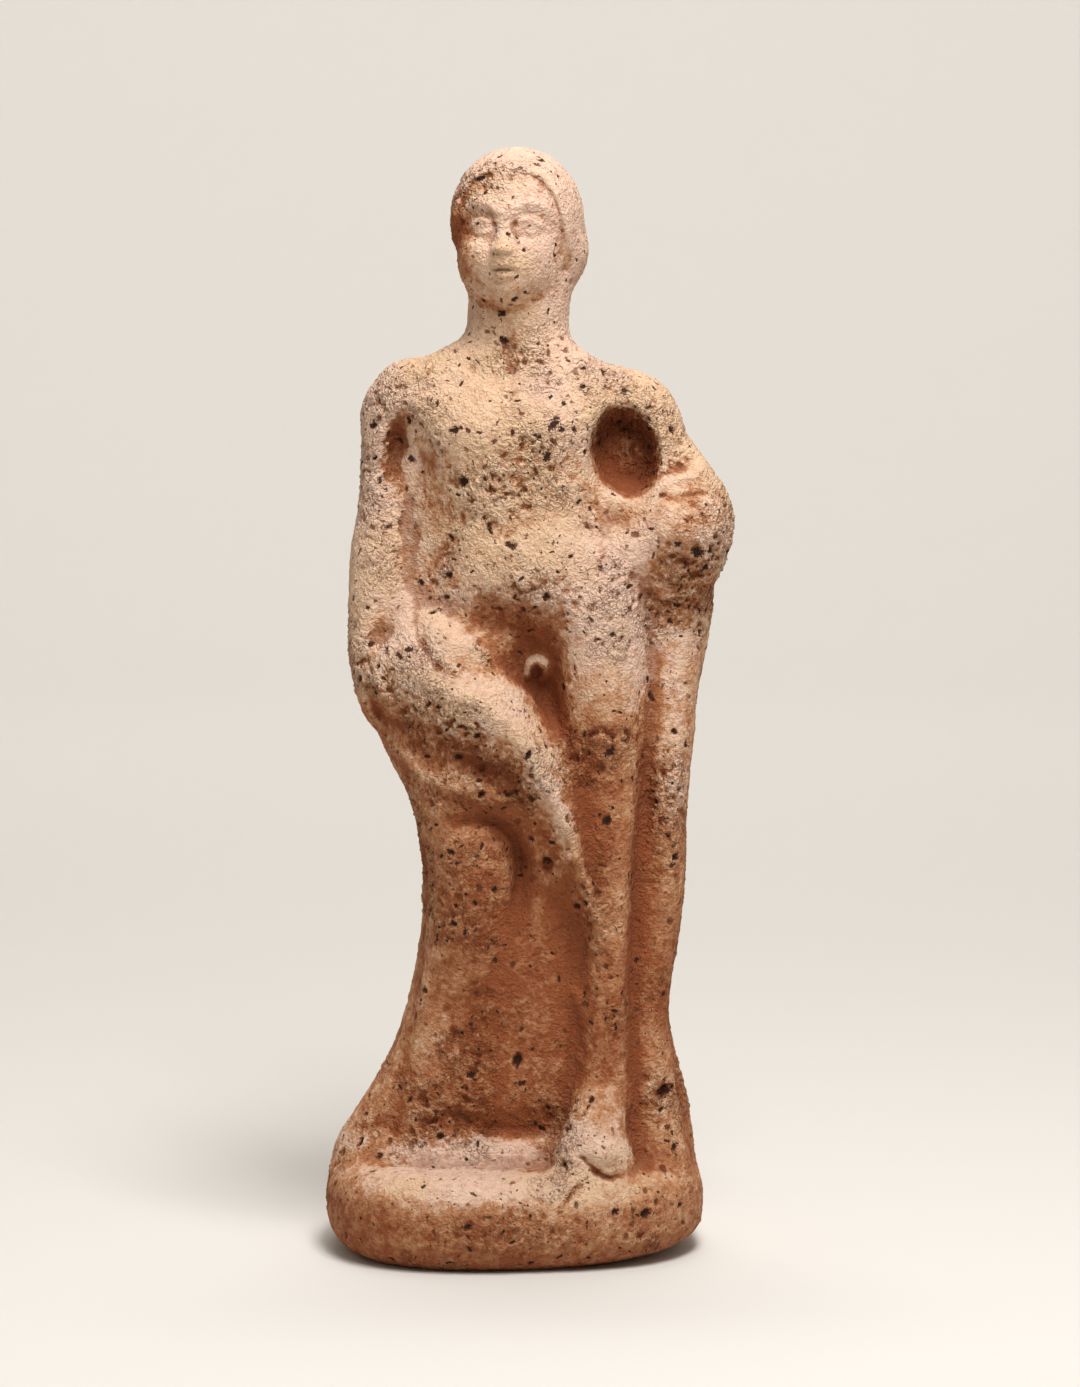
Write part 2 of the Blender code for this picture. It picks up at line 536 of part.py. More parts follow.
def cut_underside(mesh):
    """Cut the base off flat at z = 0 and close it."""
    bm = bmesh.new()
    bm.from_mesh(mesh)
    cut = bmesh.ops.bisect_plane(
        bm,
        geom=bm.verts[:] + bm.edges[:] + bm.faces[:],
        plane_co=(0, 0, 0),
        plane_no=(0, 0, 1),
        clear_inner=True,
    )
    rim = [e for e in cut["geom_cut"] if isinstance(e, bmesh.types.BMEdge)]
    bmesh.ops.holes_fill(bm, edges=rim, sides=0)
    bmesh.ops.triangulate(bm, faces=bm.faces[:])
    bmesh.ops.recalc_face_normals(bm, faces=bm.faces[:])
    bm.to_mesh(mesh)
    bm.free()


def clay_material():
    material = bpy.data.materials.new("terracotta")
    material.use_nodes = True
    shader = material.node_tree.nodes["Principled BSDF"]
    shader.inputs["Base Color"].default_value = CLAY
    shader.inputs["Roughness"].default_value = 0.9
    shader.inputs["Metallic"].default_value = 0.0
    return material


def build():
    clear_scene()
    bm = bmesh.new()
    build_masses(bm)
    masses = bpy.data.meshes.new("masses")
    bm.to_mesh(masses)
    bm.free()
    skin = refined(masses, "fusing", lambda holder: fuse(holder, FUSING_VOXEL, FUSING_PASSES))
    work_front(skin)
    skin = refined(skin, "carved", lambda holder: fuse(holder, CARVED_VOXEL, CARVED_PASSES))
    skin = refined(skin, "thinned", thin_out)
    cut_underside(skin)
    figurine = bpy.data.objects.new("terracotta_figurine", skin)
    skin.name = figurine.name
    skin.materials.append(clay_material())
    bpy.context.scene.collection.objects.link(figurine)


build()
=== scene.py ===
"""Looks of the terracotta figurine: worn coarse clay with volcanic grit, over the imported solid's form."""
import math

import bpy
import numpy as np
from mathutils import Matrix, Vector, noise
from mathutils.bvhtree import BVHTree
from mathutils.kdtree import KDTree


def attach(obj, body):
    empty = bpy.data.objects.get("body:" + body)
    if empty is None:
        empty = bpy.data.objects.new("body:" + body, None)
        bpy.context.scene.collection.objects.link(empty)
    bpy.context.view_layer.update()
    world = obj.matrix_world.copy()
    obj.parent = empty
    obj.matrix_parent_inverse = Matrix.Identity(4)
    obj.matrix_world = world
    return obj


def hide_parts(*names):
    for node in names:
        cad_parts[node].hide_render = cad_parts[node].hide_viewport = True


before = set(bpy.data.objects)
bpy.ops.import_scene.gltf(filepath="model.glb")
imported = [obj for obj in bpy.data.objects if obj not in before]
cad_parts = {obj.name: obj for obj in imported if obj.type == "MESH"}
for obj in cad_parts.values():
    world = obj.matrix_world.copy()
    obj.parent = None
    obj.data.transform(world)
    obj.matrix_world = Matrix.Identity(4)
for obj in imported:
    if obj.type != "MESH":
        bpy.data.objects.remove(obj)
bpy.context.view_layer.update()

NODE = "terracotta_figurine"

# The figure's own measure: hundredths of its height, with z counted from the top of the base
FIGURE_HEIGHT = 0.157
BASE_HEIGHT = 0.0145
UNIT = FIGURE_HEIGHT / 100
HEAD_TURN = math.radians(-10.0)
HEAD_AXIS = (0.3, -0.2)

MM = 0.001
WELD_GAP = 0.002 * MM
FINE_VOXEL = 0.34 * MM
SKIN_SMOOTHING = 6
MOST_TRIANGLES = 195000

# Rounds of averaging with the neighbours: worn rims, what is near, what is far, and the broad facing
RIM_ROUNDS = 14
NEAR_ROUNDS = 30
FAR_ROUNDS = 160
BROAD_ROUNDS = 40

GRAINS = 4400
PRESSED_GRAIN = 0.28 * MM  # half length from which a grain is hollowed out of the surface
GRAIN_GAP = 0.15 * MM
MARKED_TONE = 0.1  # dark, where 1 is brown
RNG = np.random.default_rng(7314)


# Mesh arrays

def read_places(mesh):
    flat = np.empty(len(mesh.vertices) * 3)
    mesh.vertices.foreach_get("co", flat)
    return flat.reshape(-1, 3)


def read_normals(mesh):
    flat = np.empty(len(mesh.vertices) * 3)
    mesh.vertices.foreach_get("normal", flat)
    return flat.reshape(-1, 3)


def read_edges(mesh):
    flat = np.empty(len(mesh.edges) * 2, dtype=np.int32)
    mesh.edges.foreach_get("vertices", flat)
    return flat.reshape(-1, 2)


def write_places(mesh, places):
    mesh.vertices.foreach_set("co", places.ravel())
    mesh.update()


def refined(source, add_modifiers):
    """A new mesh from the source with modifiers applied."""
    holder = bpy.data.objects.new("holder", source)
    bpy.context.scene.collection.objects.link(holder)
    add_modifiers(holder)
    graph = bpy.context.evaluated_depsgraph_get()
    made = bpy.data.meshes.new_from_object(holder.evaluated_get(graph))
    bpy.data.objects.remove(holder)
    return made


def skin_over(holder):
    weld = holder.modifiers.new("Weld", "WELD")
    weld.merge_threshold = WELD_GAP
    subdivide = holder.modifiers.new("Round", "SUBSURF")
    subdivide.levels = subdivide.render_levels = 1
    remesh = holder.modifiers.new("Remesh", "REMESH")
    remesh.mode = "VOXEL"
    remesh.voxel_size = FINE_VOXEL
    smooth = holder.modifiers.new("Smooth", "SMOOTH")
    smooth.factor = 0.5
    smooth.iterations = SKIN_SMOOTHING


def count_triangles(mesh):
    return sum(len(face.vertices) - 2 for face in mesh.polygons)


def thin_out(holder):
    decimate = holder.modifiers.new("Decimate", "DECIMATE")
    decimate.ratio = min(1.0, MOST_TRIANGLES / count_triangles(holder.data))


def relaxed(places, edges, rounds):
    """Places averaged with their neighbours, a number of rounds over."""
    count = len(places)
    degree = np.bincount(edges.ravel(), minlength=count)[:, None]
    for _ in range(rounds):
        total = np.empty_like(places)
        for axis in range(3):
            total[:, axis] = np.bincount(edges[:, 0], places[edges[:, 1], axis], count)
            total[:, axis] += np.bincount(edges[:, 1], places[edges[:, 0], axis], count)
        places = 0.5 * places + 0.5 * total / degree
    return places


def smooth_step(value, low, high):
    t = np.clip((value - low) / (high - low), 0, 1)
    return t * t * (3 - 2 * t)


def noise_field(places, scale, octaves=3, seed=0.0):
    """Fractal noise, about -1 to 1, at the places scaled up."""
    shift = Vector((seed * 17.3, seed * 5.1, seed * 9.7))
    return np.array([noise.fractal(Vector(p) * scale + shift, 0.9, 2.1, octaves) for p in places])


# Strokes, as in the solid: rows of x, z, height, width on the left and on the right of their direction

def smooth_path(points, steps=4):
    rows = np.array(points, float)
    ends = np.vstack([2 * rows[0] - rows[1], rows, 2 * rows[-1] - rows[-2]])
    made = []
    for i in range(len(rows) - 1):
        a, b, c, d = ends[i : i + 4]
        for t in np.arange(steps) / steps:
            made.append(b + 0.5 * t * (c - a) + t * t * (a - 2.5 * b + 2 * c - 0.5 * d)
                        + t**3 * (1.5 * (b - c) + 0.5 * (d - a)))
    return np.array(made + [rows[-1]])


def stroke_height(x, z, stroke):
    rows = smooth_path(stroke)
    reach = 3 * rows[:, 3:5].max()
    low, high = rows[:, :2].min(axis=0) - reach, rows[:, :2].max(axis=0) + reach
    near = np.flatnonzero((x > low[0]) & (x < high[0]) & (z > low[1]) & (z < high[1]))
    px, pz = x[near], z[near]
    best, height = np.full(len(near), np.inf), np.zeros(len(near))
    for a, b in zip(rows, rows[1:]):
        run, rise = b[0] - a[0], b[1] - a[1]
        t = np.clip(((px - a[0]) * run + (pz - a[1]) * rise) / (run * run + rise * rise), 0, 1)
        off_x, off_z = px - a[0] - t * run, pz - a[1] - t * rise
        on_left = run * off_z - rise * off_x > 0
        width = np.where(on_left, a[3] + t * (b[3] - a[3]), a[4] + t * (b[4] - a[4]))
        gap = (off_x**2 + off_z**2) / width**2
        nearer = gap < best
        best = np.where(nearer, gap, best)
        height = np.where(nearer, a[2] + t * (b[2] - a[2]), height)
    out = np.zeros(len(x))
    out[near] = height * np.exp(-best)
    return out


def spread(x, z, centre_x, centre_z, half_width, half_height, tilt=0.0):
    c, s = math.cos(math.radians(tilt)), math.sin(math.radians(tilt))
    across = (x - centre_x) * c + (z - centre_z) * s
    along = (z - centre_z) * c - (x - centre_x) * s
    return (across / half_width) ** 2 + (along / half_height) ** 2


def mirrored(stroke):
    return tuple((-x, z, height, right, left) for x, z, height, left, right in stroke)


FRONT_STROKES = (
    # crest of the roll against the open side
    ((-9.0, 48.6, 0.1, 0.7, 1.0), (-5.6, 47.8, 0.2, 0.6, 1.1), (-1.8, 45.6, 0.35, 0.5, 1.3),
     (1.4, 42.2, 0.5, 0.45, 1.3), (3.8, 37.8, 0.5, 0.45, 1.3), (5.6, 33.4, 0.45, 0.45, 1.3),
     (6.9, 29.4, 0.35, 0.45, 1.2), (7.8, 25.4, 0.2, 0.5, 1.1), (8.6, 21.0, 0.05, 0.5, 0.9)),
    # the leg beside the roll, and the groove along its outer edge
    ((8.6, 40.0, 0.05, 2.2, 1.6), (9.0, 33.0, 0.2, 2.0, 1.5), (8.9, 26.0, 0.3, 1.9, 1.5),
     (8.9, 18.0, 0.3, 1.9, 1.5), (9.0, 10.0, 0.1, 1.8, 1.5)),
    ((13.1, 47.0, -0.1, 0.8, 0.8), (12.3, 34.0, -0.35, 0.8, 0.7), (11.6, 26.0, -0.45, 0.8, 0.6),
     (11.3, 16.0, -0.4, 0.8, 0.6), (11.4, 8.0, -0.15, 0.8, 0.6)),
    # arch over the knee and the cut beside it
    ((-5.8, 33.8, -0.1, 0.6, 0.5), (-3.6, 34.4, -0.35, 0.7, 0.45), (-1.5, 33.8, -0.5, 0.8, 0.45),
     (-0.2, 32.6, -0.5, 0.8, 0.45), (0.3, 31.0, -0.55, 0.7, 0.4), (0.3, 28.6, -0.7, 0.5, 0.36),
     (-0.1, 26.4, -0.6, 0.45, 0.34), (-0.6, 23.8, -0.15, 0.45, 0.34)),
    # folds between the roll and the knee
    ((-9.6, 38.6, 0.1, 0.9, 0.9), (-7.0, 37.8, 0.25, 0.9, 0.9), (-4.4, 36.8, 0.3, 0.9, 0.9),
     (-1.4, 36.2, 0.1, 0.9, 0.9)),
    ((-12.2, 41.4, 0.1, 0.7, 0.7), (-10.6, 40.0, 0.3, 0.7, 0.7), (-9.0, 38.6, 0.1, 0.7, 0.7)),
    ((3.8, 30.4, 0.1, 0.6, 0.6), (5.2, 30.6, 0.3, 0.6, 0.6), (6.6, 30.4, 0.1, 0.6, 0.6)),
    ((5.6, 18.6, 0.05, 0.6, 0.6), (6.3, 16.4, 0.3, 0.55, 0.55), (7.0, 14.4, 0.05, 0.6, 0.6)),
    # right-hand drape
    ((15.8, 42.2, 0.05, 0.8, 0.8), (15.9, 37.4, 0.3, 0.7, 0.7), (15.8, 31.2, 0.1, 0.8, 0.8)),
    # corner of the skirt, and the angle where it meets the base
    ((-7.6, 20.6, 0.1, 0.6, 0.9), (-9.4, 16.4, 0.3, 0.6, 0.9), (-11.2, 12.2, 0.35, 0.7, 1.0),
     (-12.7, 6.0, 0.1, 0.8, 1.0)),
    ((-7.2, 5.2, -0.1, 0.8, 0.6), (-3.4, 3.6, -0.4, 0.8, 0.6), (0.4, 3.0, -0.5, 0.8, 0.6),
     (3.4, 3.2, -0.3, 0.8, 0.6)),
    # creases of the bundle over the forearm
    ((12.2, 65.8, 0.2, 0.5, 0.5), (14.4, 66.9, 0.5, 0.35, 0.5), (17.0, 67.7, 0.45, 0.35, 0.5),
     (19.2, 68.6, 0.2, 0.4, 0.5)),
    ((12.4, 66.7, -0.3, 0.4, 0.3), (14.4, 67.7, -0.4, 0.4, 0.3), (16.6, 68.4, -0.2, 0.4, 0.3)),
    ((14.4, 65.3, -0.1, 0.3, 0.3), (17.4, 65.8, -0.35, 0.28, 0.28), (20.6, 65.7, -0.15, 0.3, 0.3)),
    ((15.2, 63.6, -0.05, 0.3, 0.3), (17.6, 63.2, -0.2, 0.3, 0.3), (20.0, 62.2, -0.05, 0.3, 0.3)),
    # edge of the mantle from the hip into the roll, with the cut on its inner side
    ((-11.0, 57.4, 0.1, 1.0, 1.0), (-10.8, 54.0, 0.4, 1.1, 1.0), (-10.4, 51.0, 0.5, 1.2, 1.1),
     (-8.4, 48.2, 0.45, 1.1, 1.2), (-4.6, 46.4, 0.2, 1.0, 1.2)),
    ((-9.6, 55.2, -0.1, 0.5, 0.5), (-9.3, 52.6, -0.3, 0.45, 0.5), (-8.2, 50.2, -0.35, 0.4, 0.5),
     (-5.8, 48.4, -0.3, 0.4, 0.5), (-3.4, 47.4, -0.1, 0.4, 0.5)),
    # the hanging hand: the finger roll and the dark cut above it
    ((-14.0, 49.2, 0.1, 0.6, 0.6), (-13.0, 47.0, 0.5, 0.6, 0.6), (-12.0, 44.6, 0.15, 0.6, 0.6)),
    ((-15.6, 49.0, -0.1, 0.3, 0.3), (-14.8, 49.5, -0.45, 0.3, 0.3), (-14.0, 49.9, -0.15, 0.3, 0.3)),
    ((-14.4, 46.8, -0.1, 0.6, 0.6), (-13.5, 45.0, -0.45, 0.7, 0.6), (-12.4, 42.8, -0.1, 0.6, 0.6)),
    # pressed-on pellet
    ((1.35, 48.2, 0.9, 0.42, 0.42), (1.55, 49.1, 1.1, 0.48, 0.46), (2.2, 49.6, 1.2, 0.48, 0.44),
     (2.85, 49.2, 1.2, 0.48, 0.44), (3.05, 48.4, 1.1, 0.46, 0.44), (2.7, 47.7, 0.9, 0.42, 0.42)),
    # armpit, breast bone and throat
    ((-11.4, 73.4, -0.1, 1.0, 0.8), (-11.6, 70.4, -0.7, 1.1, 0.8), (-12.0, 66.8, -0.3, 1.0, 0.8),
     (-12.2, 63.4, -0.05, 0.8, 0.8)),
    ((-0.4, 82.4, -0.1, 0.8, 0.8), (-0.4, 79.8, -0.3, 0.8, 0.8), (-0.2, 78.0, -0.4, 0.7, 0.7)),
    # toes
    ((6.7, 1.8, -0.3, 0.3, 0.35), (8.1, 0.4, -0.7, 0.3, 0.35), (9.2, -0.2, -0.6, 0.3, 0.3),
     (10.4, -0.1, -0.2, 0.3, 0.3)),
    ((6.3, -0.6, -0.2, 0.25, 0.25), (5.4, -1.8, -0.5, 0.25, 0.25), (4.8, -2.6, -0.3, 0.25, 0.25)),
)
# Swellings and dips: x, z, half width, half height, tilt in degrees, height out of the surface
FRONT_SWELLINGS = (
    (-3.2, 39.7, 2.1, 0.9, -18, -0.6), (-13.2, 44.9, 0.7, 0.9, 0, -0.5), (3.3, 29.7, 0.6, 0.6, 0, -0.9),
    (9.0, 54.0, 3.4, 3.4, 0, 0.5), (-13.1, 52.0, 1.0, 1.4, 0, -0.25), (17.2, 59.0, 1.8, 1.1, -25, -0.4),
    (0.0, 62.6, 2.6, 1.2, 20, -0.25), (-3.6, 65.6, 2.2, 1.4, -20, 0.25), (5.2, 66.6, 2.0, 1.4, 20, 0.2),
    (8.4, 2.6, 1.6, 1.2, -20, 0.4), (14.6, 6.6, 1.8, 1.6, 0, -0.4), (-4.2, 56.6, 2.4, 2.0, 0, 0.2),
    (2.6, 55.6, 3.2, 1.6, 0, 0.25), (13.1, 36.0, 0.7, 3.6, 0, -0.4), (-0.6, 30.2, 1.0, 2.0, 0, 0.3),
    (10.9, 69.2, 2.4, 3.2, 14, 1.0),
)
# The face and hair in the head's own directions, x from the midline
FACE_STROKES = (
    ((-1.35, 87.3, -0.1, 0.2, 0.2), (-0.6, 87.5, -0.4, 0.2, 0.2), (0.0, 87.55, -0.45, 0.2, 0.2),
     (0.6, 87.5, -0.4, 0.2, 0.2), (1.35, 87.3, -0.1, 0.2, 0.2)),
    ((-1.2, 87.6, 0.05, 0.25, 0.2), (-0.5, 88.0, 0.28, 0.25, 0.2), (0.0, 87.95, 0.2, 0.25, 0.2),
     (0.5, 88.0, 0.28, 0.25, 0.2), (1.2, 87.6, 0.05, 0.25, 0.2)),
    ((-0.9, 87.05, 0.1, 0.25, 0.3), (0.0, 86.9, 0.38, 0.25, 0.35), (0.9, 87.05, 0.1, 0.25, 0.3)),
    ((0.0, 88.9, -0.15, 0.22, 0.22), (0.0, 88.4, -0.15, 0.22, 0.22)),
    ((4.4, 96.8, -0.2, 0.35, 0.35), (6.1, 94.4, -0.4, 0.35, 0.35), (6.9, 91.4, -0.35, 0.35, 0.35)),
    ((5.7, 88.9, -0.2, 0.4, 0.4), (5.2, 87.6, -0.35, 0.4, 0.4)),
)
FACE_PAIRS = (
    ((1.15, 91.75, 0.05, 0.2, 0.2), (1.8, 92.2, 0.30, 0.18, 0.25), (2.6, 92.35, 0.34, 0.18, 0.25),
     (3.3, 92.05, 0.30, 0.18, 0.25), (3.9, 91.6, 0.05, 0.2, 0.2)),
    ((1.3, 91.5, 0.05, 0.2, 0.2), (2.4, 91.05, 0.24, 0.22, 0.18), (3.6, 91.4, 0.05, 0.2, 0.2)),
    ((1.0, 92.6, -0.05, 0.25, 0.25), (2.4, 93.0, -0.12, 0.28, 0.28), (4.0, 92.3, -0.05, 0.25, 0.25)),
    ((0.7, 93.3, 0.1, 0.4, 0.3), (2.5, 94.0, 0.28, 0.4, 0.3), (4.4, 93.1, 0.1, 0.4, 0.3)),
    ((0.85, 91.8, -0.15, 0.3, 0.3), (1.1, 90.4, -0.2, 0.3, 0.3), (1.5, 89.2, -0.25, 0.28, 0.28)),
    # edge of the hair
    ((0.0, 97.4, 0.25, 0.7, 0.2), (3.1, 96.6, 0.4, 0.7, 0.2), (4.9, 94.3, 0.45, 0.6, 0.2),
     (5.5, 91.6, 0.4, 0.6, 0.2), (5.7, 89.8, 0.2, 0.5, 0.2)),
)
FACE_SWELLINGS = (
    (0.0, 89.65, 0.7, 0.6, 0, 0.35), (0.0, 86.25, 1.3, 0.35, 0, -0.2), (0.0, 85.2, 1.3, 0.8, 0, 0.25),
    (6.4, 90.5, 0.9, 1.1, 0, 0.25),
)
FACE_SWELLING_PAIRS = (
    (0.8, 89.45, 0.45, 0.4, 0, 0.35), (0.42, 88.95, 0.22, 0.18, 0, -0.4), (1.1, 91.85, 0.3, 0.3, 0, -0.25),
    (1.55, 87.3, 0.3, 0.3, 0, -0.1), (3.2, 89.9, 1.5, 1.3, 0, 0.15), (2.45, 91.7, 0.95, 0.5, 0, 0.38),
    (2.4, 92.4, 1.6, 1.0, 0, 0.25),
)


# Rims worn soft: x, z, half width, half height, tilt
SOFTENED = ((10.9, 69.8, 5.2, 6.4, 14.0), (8.0, 2.0, 4.5, 4.5, 0.0))


def soften(mesh):
    places, normals, edges = read_places(mesh), read_normals(mesh), read_edges(mesh)
    x, z = places[:, 0] / UNIT, (places[:, 2] - BASE_HEIGHT) / UNIT
    amount = sum(np.exp(-spread(x, z, *oval) ** 2) for oval in SOFTENED)
    amount *= smooth_step(-normals[:, 1], -0.3, 0.1)
    soft = relaxed(places, edges, RIM_ROUNDS)
    write_places(mesh, places + (soft - places) * np.clip(amount, 0, 1)[:, None])


def work_front(mesh):
    """Small forms of the front, pushed out of the surface or pressed into it."""
    places, normals = read_places(mesh), read_normals(mesh)
    facing = smooth_step(-normals[:, 1], 0.0, 0.45)
    x, y, z = places[:, 0] / UNIT, places[:, 1] / UNIT, (places[:, 2] - BASE_HEIGHT) / UNIT
    out = sum(stroke_height(x, z, stroke) for stroke in FRONT_STROKES)
    for *oval, height in FRONT_SWELLINGS:
        out += height * np.exp(-spread(x, z, *oval))
    y = y - out * facing

    c, s = math.cos(HEAD_TURN), math.sin(HEAD_TURN)
    across = (x - HEAD_AXIS[0]) * c + (y - HEAD_AXIS[1]) * s
    ahead = (x - HEAD_AXIS[0]) * s - (y - HEAD_AXIS[1]) * c
    on_face = smooth_step(z, 82.5, 84.5) * smooth_step(ahead, 0.5, 3.0)
    out = sum(stroke_height(across, z, stroke) for stroke in FACE_STROKES)
    for stroke in FACE_PAIRS:
        out += stroke_height(across, z, stroke) * (across > 0)
        out += stroke_height(across, z, mirrored(stroke)) * (across <= 0)
    for *oval, height in FACE_SWELLINGS:
        out += height * np.exp(-spread(across, z, *oval))
    for *oval, height in FACE_SWELLING_PAIRS:
        out += height * np.exp(-spread(np.abs(across), z, *oval))
    x = x + s * out * on_face
    y = y - c * out * on_face

    places[:, 0], places[:, 1] = x * UNIT, y * UNIT
    write_places(mesh, places)


# Worn, crumbly places of the front: x, z, half width, half height, strength
WORN = (
    (2.5, 70.0, 4.0, 3.5, 0.7), (-12.0, 76.0, 3.5, 3.0, 0.9), (-13.6, 67.0, 2.2, 5.0, 0.9),
    (2.5, 56.5, 6.0, 3.0, 0.6), (19.0, 63.0, 3.0, 4.0, 0.5), (-6.5, 42.5, 5.5, 3.0, 0.6),
    (0.5, 39.0, 3.0, 4.0, 0.5), (-13.0, 59.0, 2.0, 3.0, 0.6), (14.0, 71.5, 2.6, 3.5, 0.7),
    (-2.5, 65.0, 4.0, 3.0, 0.5), (9.0, 40.0, 3.0, 4.0, 0.25), (14.8, 6.5, 2.4, 2.0, 1.0),
    (16.5, 58.0, 2.4, 3.0, 0.5), (4.0, 4.5, 3.0, 3.0, 0.6), (8.0, 27.0, 1.8, 6.0, 0.6),
    (-4.0, 29.0, 4.0, 5.0, 0.45), (-6.0, 37.5, 4.5, 2.5, 0.6), (5.6, 33.0, 2.2, 4.0, 0.3),
    (-10.6, 47.0, 2.5, 3.0, 0.2), (-7.0, 5.5, 3.0, 2.6, 0.6), (15.0, 34.0, 2.0, 5.0, 0.6),
    (0.0, -5.0, 8.0, 2.0, 0.5),
)
LEAST_WORN = 0.09
# The face is kept sound: x, z, half width, half height, and the share of wear taken off
FACE_OVAL = (-0.6, 89.5, 5.5, 6.0)
FACE_KEPT = 0.85
# Heights between which the front turns from orange clay to pale skin, partly the clay's own colour and
# partly painted shade on the lower body, and how far that line wanders
SKIN_AND_SHADE_LINE = (62 * MM, 114 * MM)
SKIN_AND_SHADE_WANDER = 12 * MM
# Where the pale skin is kept (above 0) or has gone from the orange clay (below 0), in the same terms;
# partly the clay's own patches and partly painted light and shade, paler where the light falls and darker
# on shaded sides and in recesses
TONES = (
    (8.5, 1.0, 5.5, 4.5, 0.50), (-5.0, 1.0, 9.0, 1.6, 1.50), (-4.0, -0.9, 9.0, 1.3, 0.70),
    (4.2, 4.0, 2.0, 4.0, 0.55), (13.4, 9.0, 2.6, 7.0, 0.30), (-14.5, -3.5, 4.0, 3.5, -0.35),
    (-11.6, 27.0, 1.8, 12.0, 0.30), (-9.0, 49.0, 3.0, 3.0, 0.35), (-2.0, 45.0, 3.8, 2.6, 0.75),
    (3.0, 39.0, 2.2, 3.6, 0.65), (5.4, 32.6, 1.7, 3.4, 0.35), (15.6, 38.0, 2.6, 6.0, 0.40),
    (13.2, 47.0, 1.4, 8.0, 0.45), (9.0, 57.0, 4.0, 6.0, 0.32), (0.0, 75.0, 9.0, 4.0, 0.25),
    (16.8, 57.0, 3.2, 3.4, -0.50), (17.0, 64.0, 4.0, 3.0, -0.65), (-6.4, 90.5, 2.6, 5.5, -1.15),
    (-11.6, 70.0, 1.8, 5.0, -0.30), (-3.8, 82.0, 2.4, 3.0, 0.45),
    (4.0, 82.0, 2.4, 3.0, 0.45), (-3.0, 40.0, 5.0, 2.0, 0.10), (8.6, 42.0, 3.4, 7.0, -0.18),
    (8.0, 34.0, 2.6, 5.0, -0.30), (-4.0, 29.0, 4.0, 5.0, -0.25), (9.4, 15.0, 2.0, 6.0, -0.40),
    (15.0, 16.0, 2.4, 5.0, -0.45), (-11.2, 58.0, 1.5, 7.0, 0.30), (8.5, 62.0, 3.0, 2.6, 0.35),
    (2.2, 48.9, 1.0, 1.0, 0.80), (-9.6, 62.0, 1.3, 9.0, 0.45), (-6.6, 55.0, 2.6, 1.6, 0.45),
    (4.6, 35.5, 2.0, 3.6, 0.40), (12.8, 58.0, 1.4, 3.0, 0.30), (13.5, -3.0, 4.0, 2.6, -0.25),
    (-0.6, 91.0, 4.0, 3.0, 0.35),
)
# Grains and voids that stand out, hollowed and painted dark, which in the voids is painted shade: x, z,
# half length and half width in millimetres, tilt of the length
MARKED = (
    (-5.7, 72.1, 0.75, 0.55, 20), (-4.9, 67.2, 0.85, 0.70, 60), (3.9, 72.6, 0.80, 0.60, 70),
    (3.3, 69.6, 0.95, 0.55, 80), (2.4, 71.4, 0.50, 0.35, 0), (-0.3, 61.0, 0.95, 0.50, -30),
    (-2.3, 62.3, 0.70, 0.25, -60), (-10.0, 69.2, 0.70, 0.50, -40), (12.7, 66.4, 0.85, 0.60, 10),
    (17.8, 60.2, 1.15, 0.80, -50), (16.0, 61.0, 0.60, 0.45, 0), (-1.0, 80.8, 0.80, 0.50, -35),
    (-1.2, 83.4, 0.60, 0.50, 0), (3.4, 83.6, 0.60, 0.25, 80), (9.0, 34.3, 0.80, 0.60, 60),
    (3.3, 30.1, 0.90, 0.70, 80), (13.4, 46.1, 0.85, 0.40, -65), (15.9, 30.3, 0.70, 0.55, 0),
    (9.1, 40.9, 0.75, 0.50, 20), (1.3, 40.9, 0.75, 0.45, 60), (12.9, -3.8, 0.80, 0.65, 30),
    (9.8, -3.2, 0.60, 0.45, 0), (15.7, 1.6, 0.70, 0.50, 70), (-4.5, -4.4, 0.60, 0.45, 0),
    (-15.1, 1.8, 0.80, 0.40, 60), (0.4, 10.4, 1.00, 0.65, 70), (14.8, 7.0, 1.10, 0.80, 20),
    (-6.6, 55.8, 0.70, 0.35, 0), (-8.9, 88.0, 0.60, 0.40, 60), (2.6, 98.2, 0.70, 0.30, -20),
    (-3.3, 96.4, 0.80, 0.35, 15), (11.2, 57.0, 0.60, 0.30, 30), (-13.8, 72.6, 0.80, 0.50, 40),
)


def worn_amount(places, normals):
    """How worn each place is, from 0 to 1: the listed places of the front, and patches anywhere."""
    x, z = places[:, 0] / UNIT, (places[:, 2] - BASE_HEIGHT) / UNIT
    amount = np.zeros(len(x))
    for centre_x, centre_z, wide, high, strength in WORN:
        amount = np.maximum(amount, strength * np.exp(-spread(x, z, centre_x, centre_z, wide, high)))
    amount *= smooth_step(-normals[:, 1], -0.2, 0.2)
    patches = noise_field(places, 75.0, 3, 1.0)
    amount += smooth_step(patches, 0.05, 0.5) * (0.4 + 0.25 * smooth_step(-normals[:, 1], -0.3, 0.5))
    on_face = np.exp(-spread(x, z, *FACE_OVAL) ** 2) * (normals[:, 1] < 0)
    return np.clip(LEAST_WORN + amount, 0, 1) * (1 - FACE_KEPT * on_face)


def tone_amount(places, normals):
    """How much pale skin is left, 0 to about 1, partly the clay's own colour and partly painted light and
    shade: more of it high up on the front and darker low down, with the listed patches; patchy on the back,
    a little paler higher up.
    """
    x, z = places[:, 0] / UNIT, (places[:, 2] - BASE_HEIGHT) / UNIT
    uneven = noise_field(places, 45.0, 3, 7.0)
    front = 0.08 + 0.76 * smooth_step(places[:, 2] + SKIN_AND_SHADE_WANDER * uneven, *SKIN_AND_SHADE_LINE)
    front += sum(tone * np.exp(-spread(x, z, *oval)) for *oval, tone in TONES)
    back = 0.42 + 0.18 * smooth_step(places[:, 2], 0.02, 0.15) + 0.30 * uneven
    return back + (front - back) * smooth_step(-normals[:, 1], -0.2, 0.2)


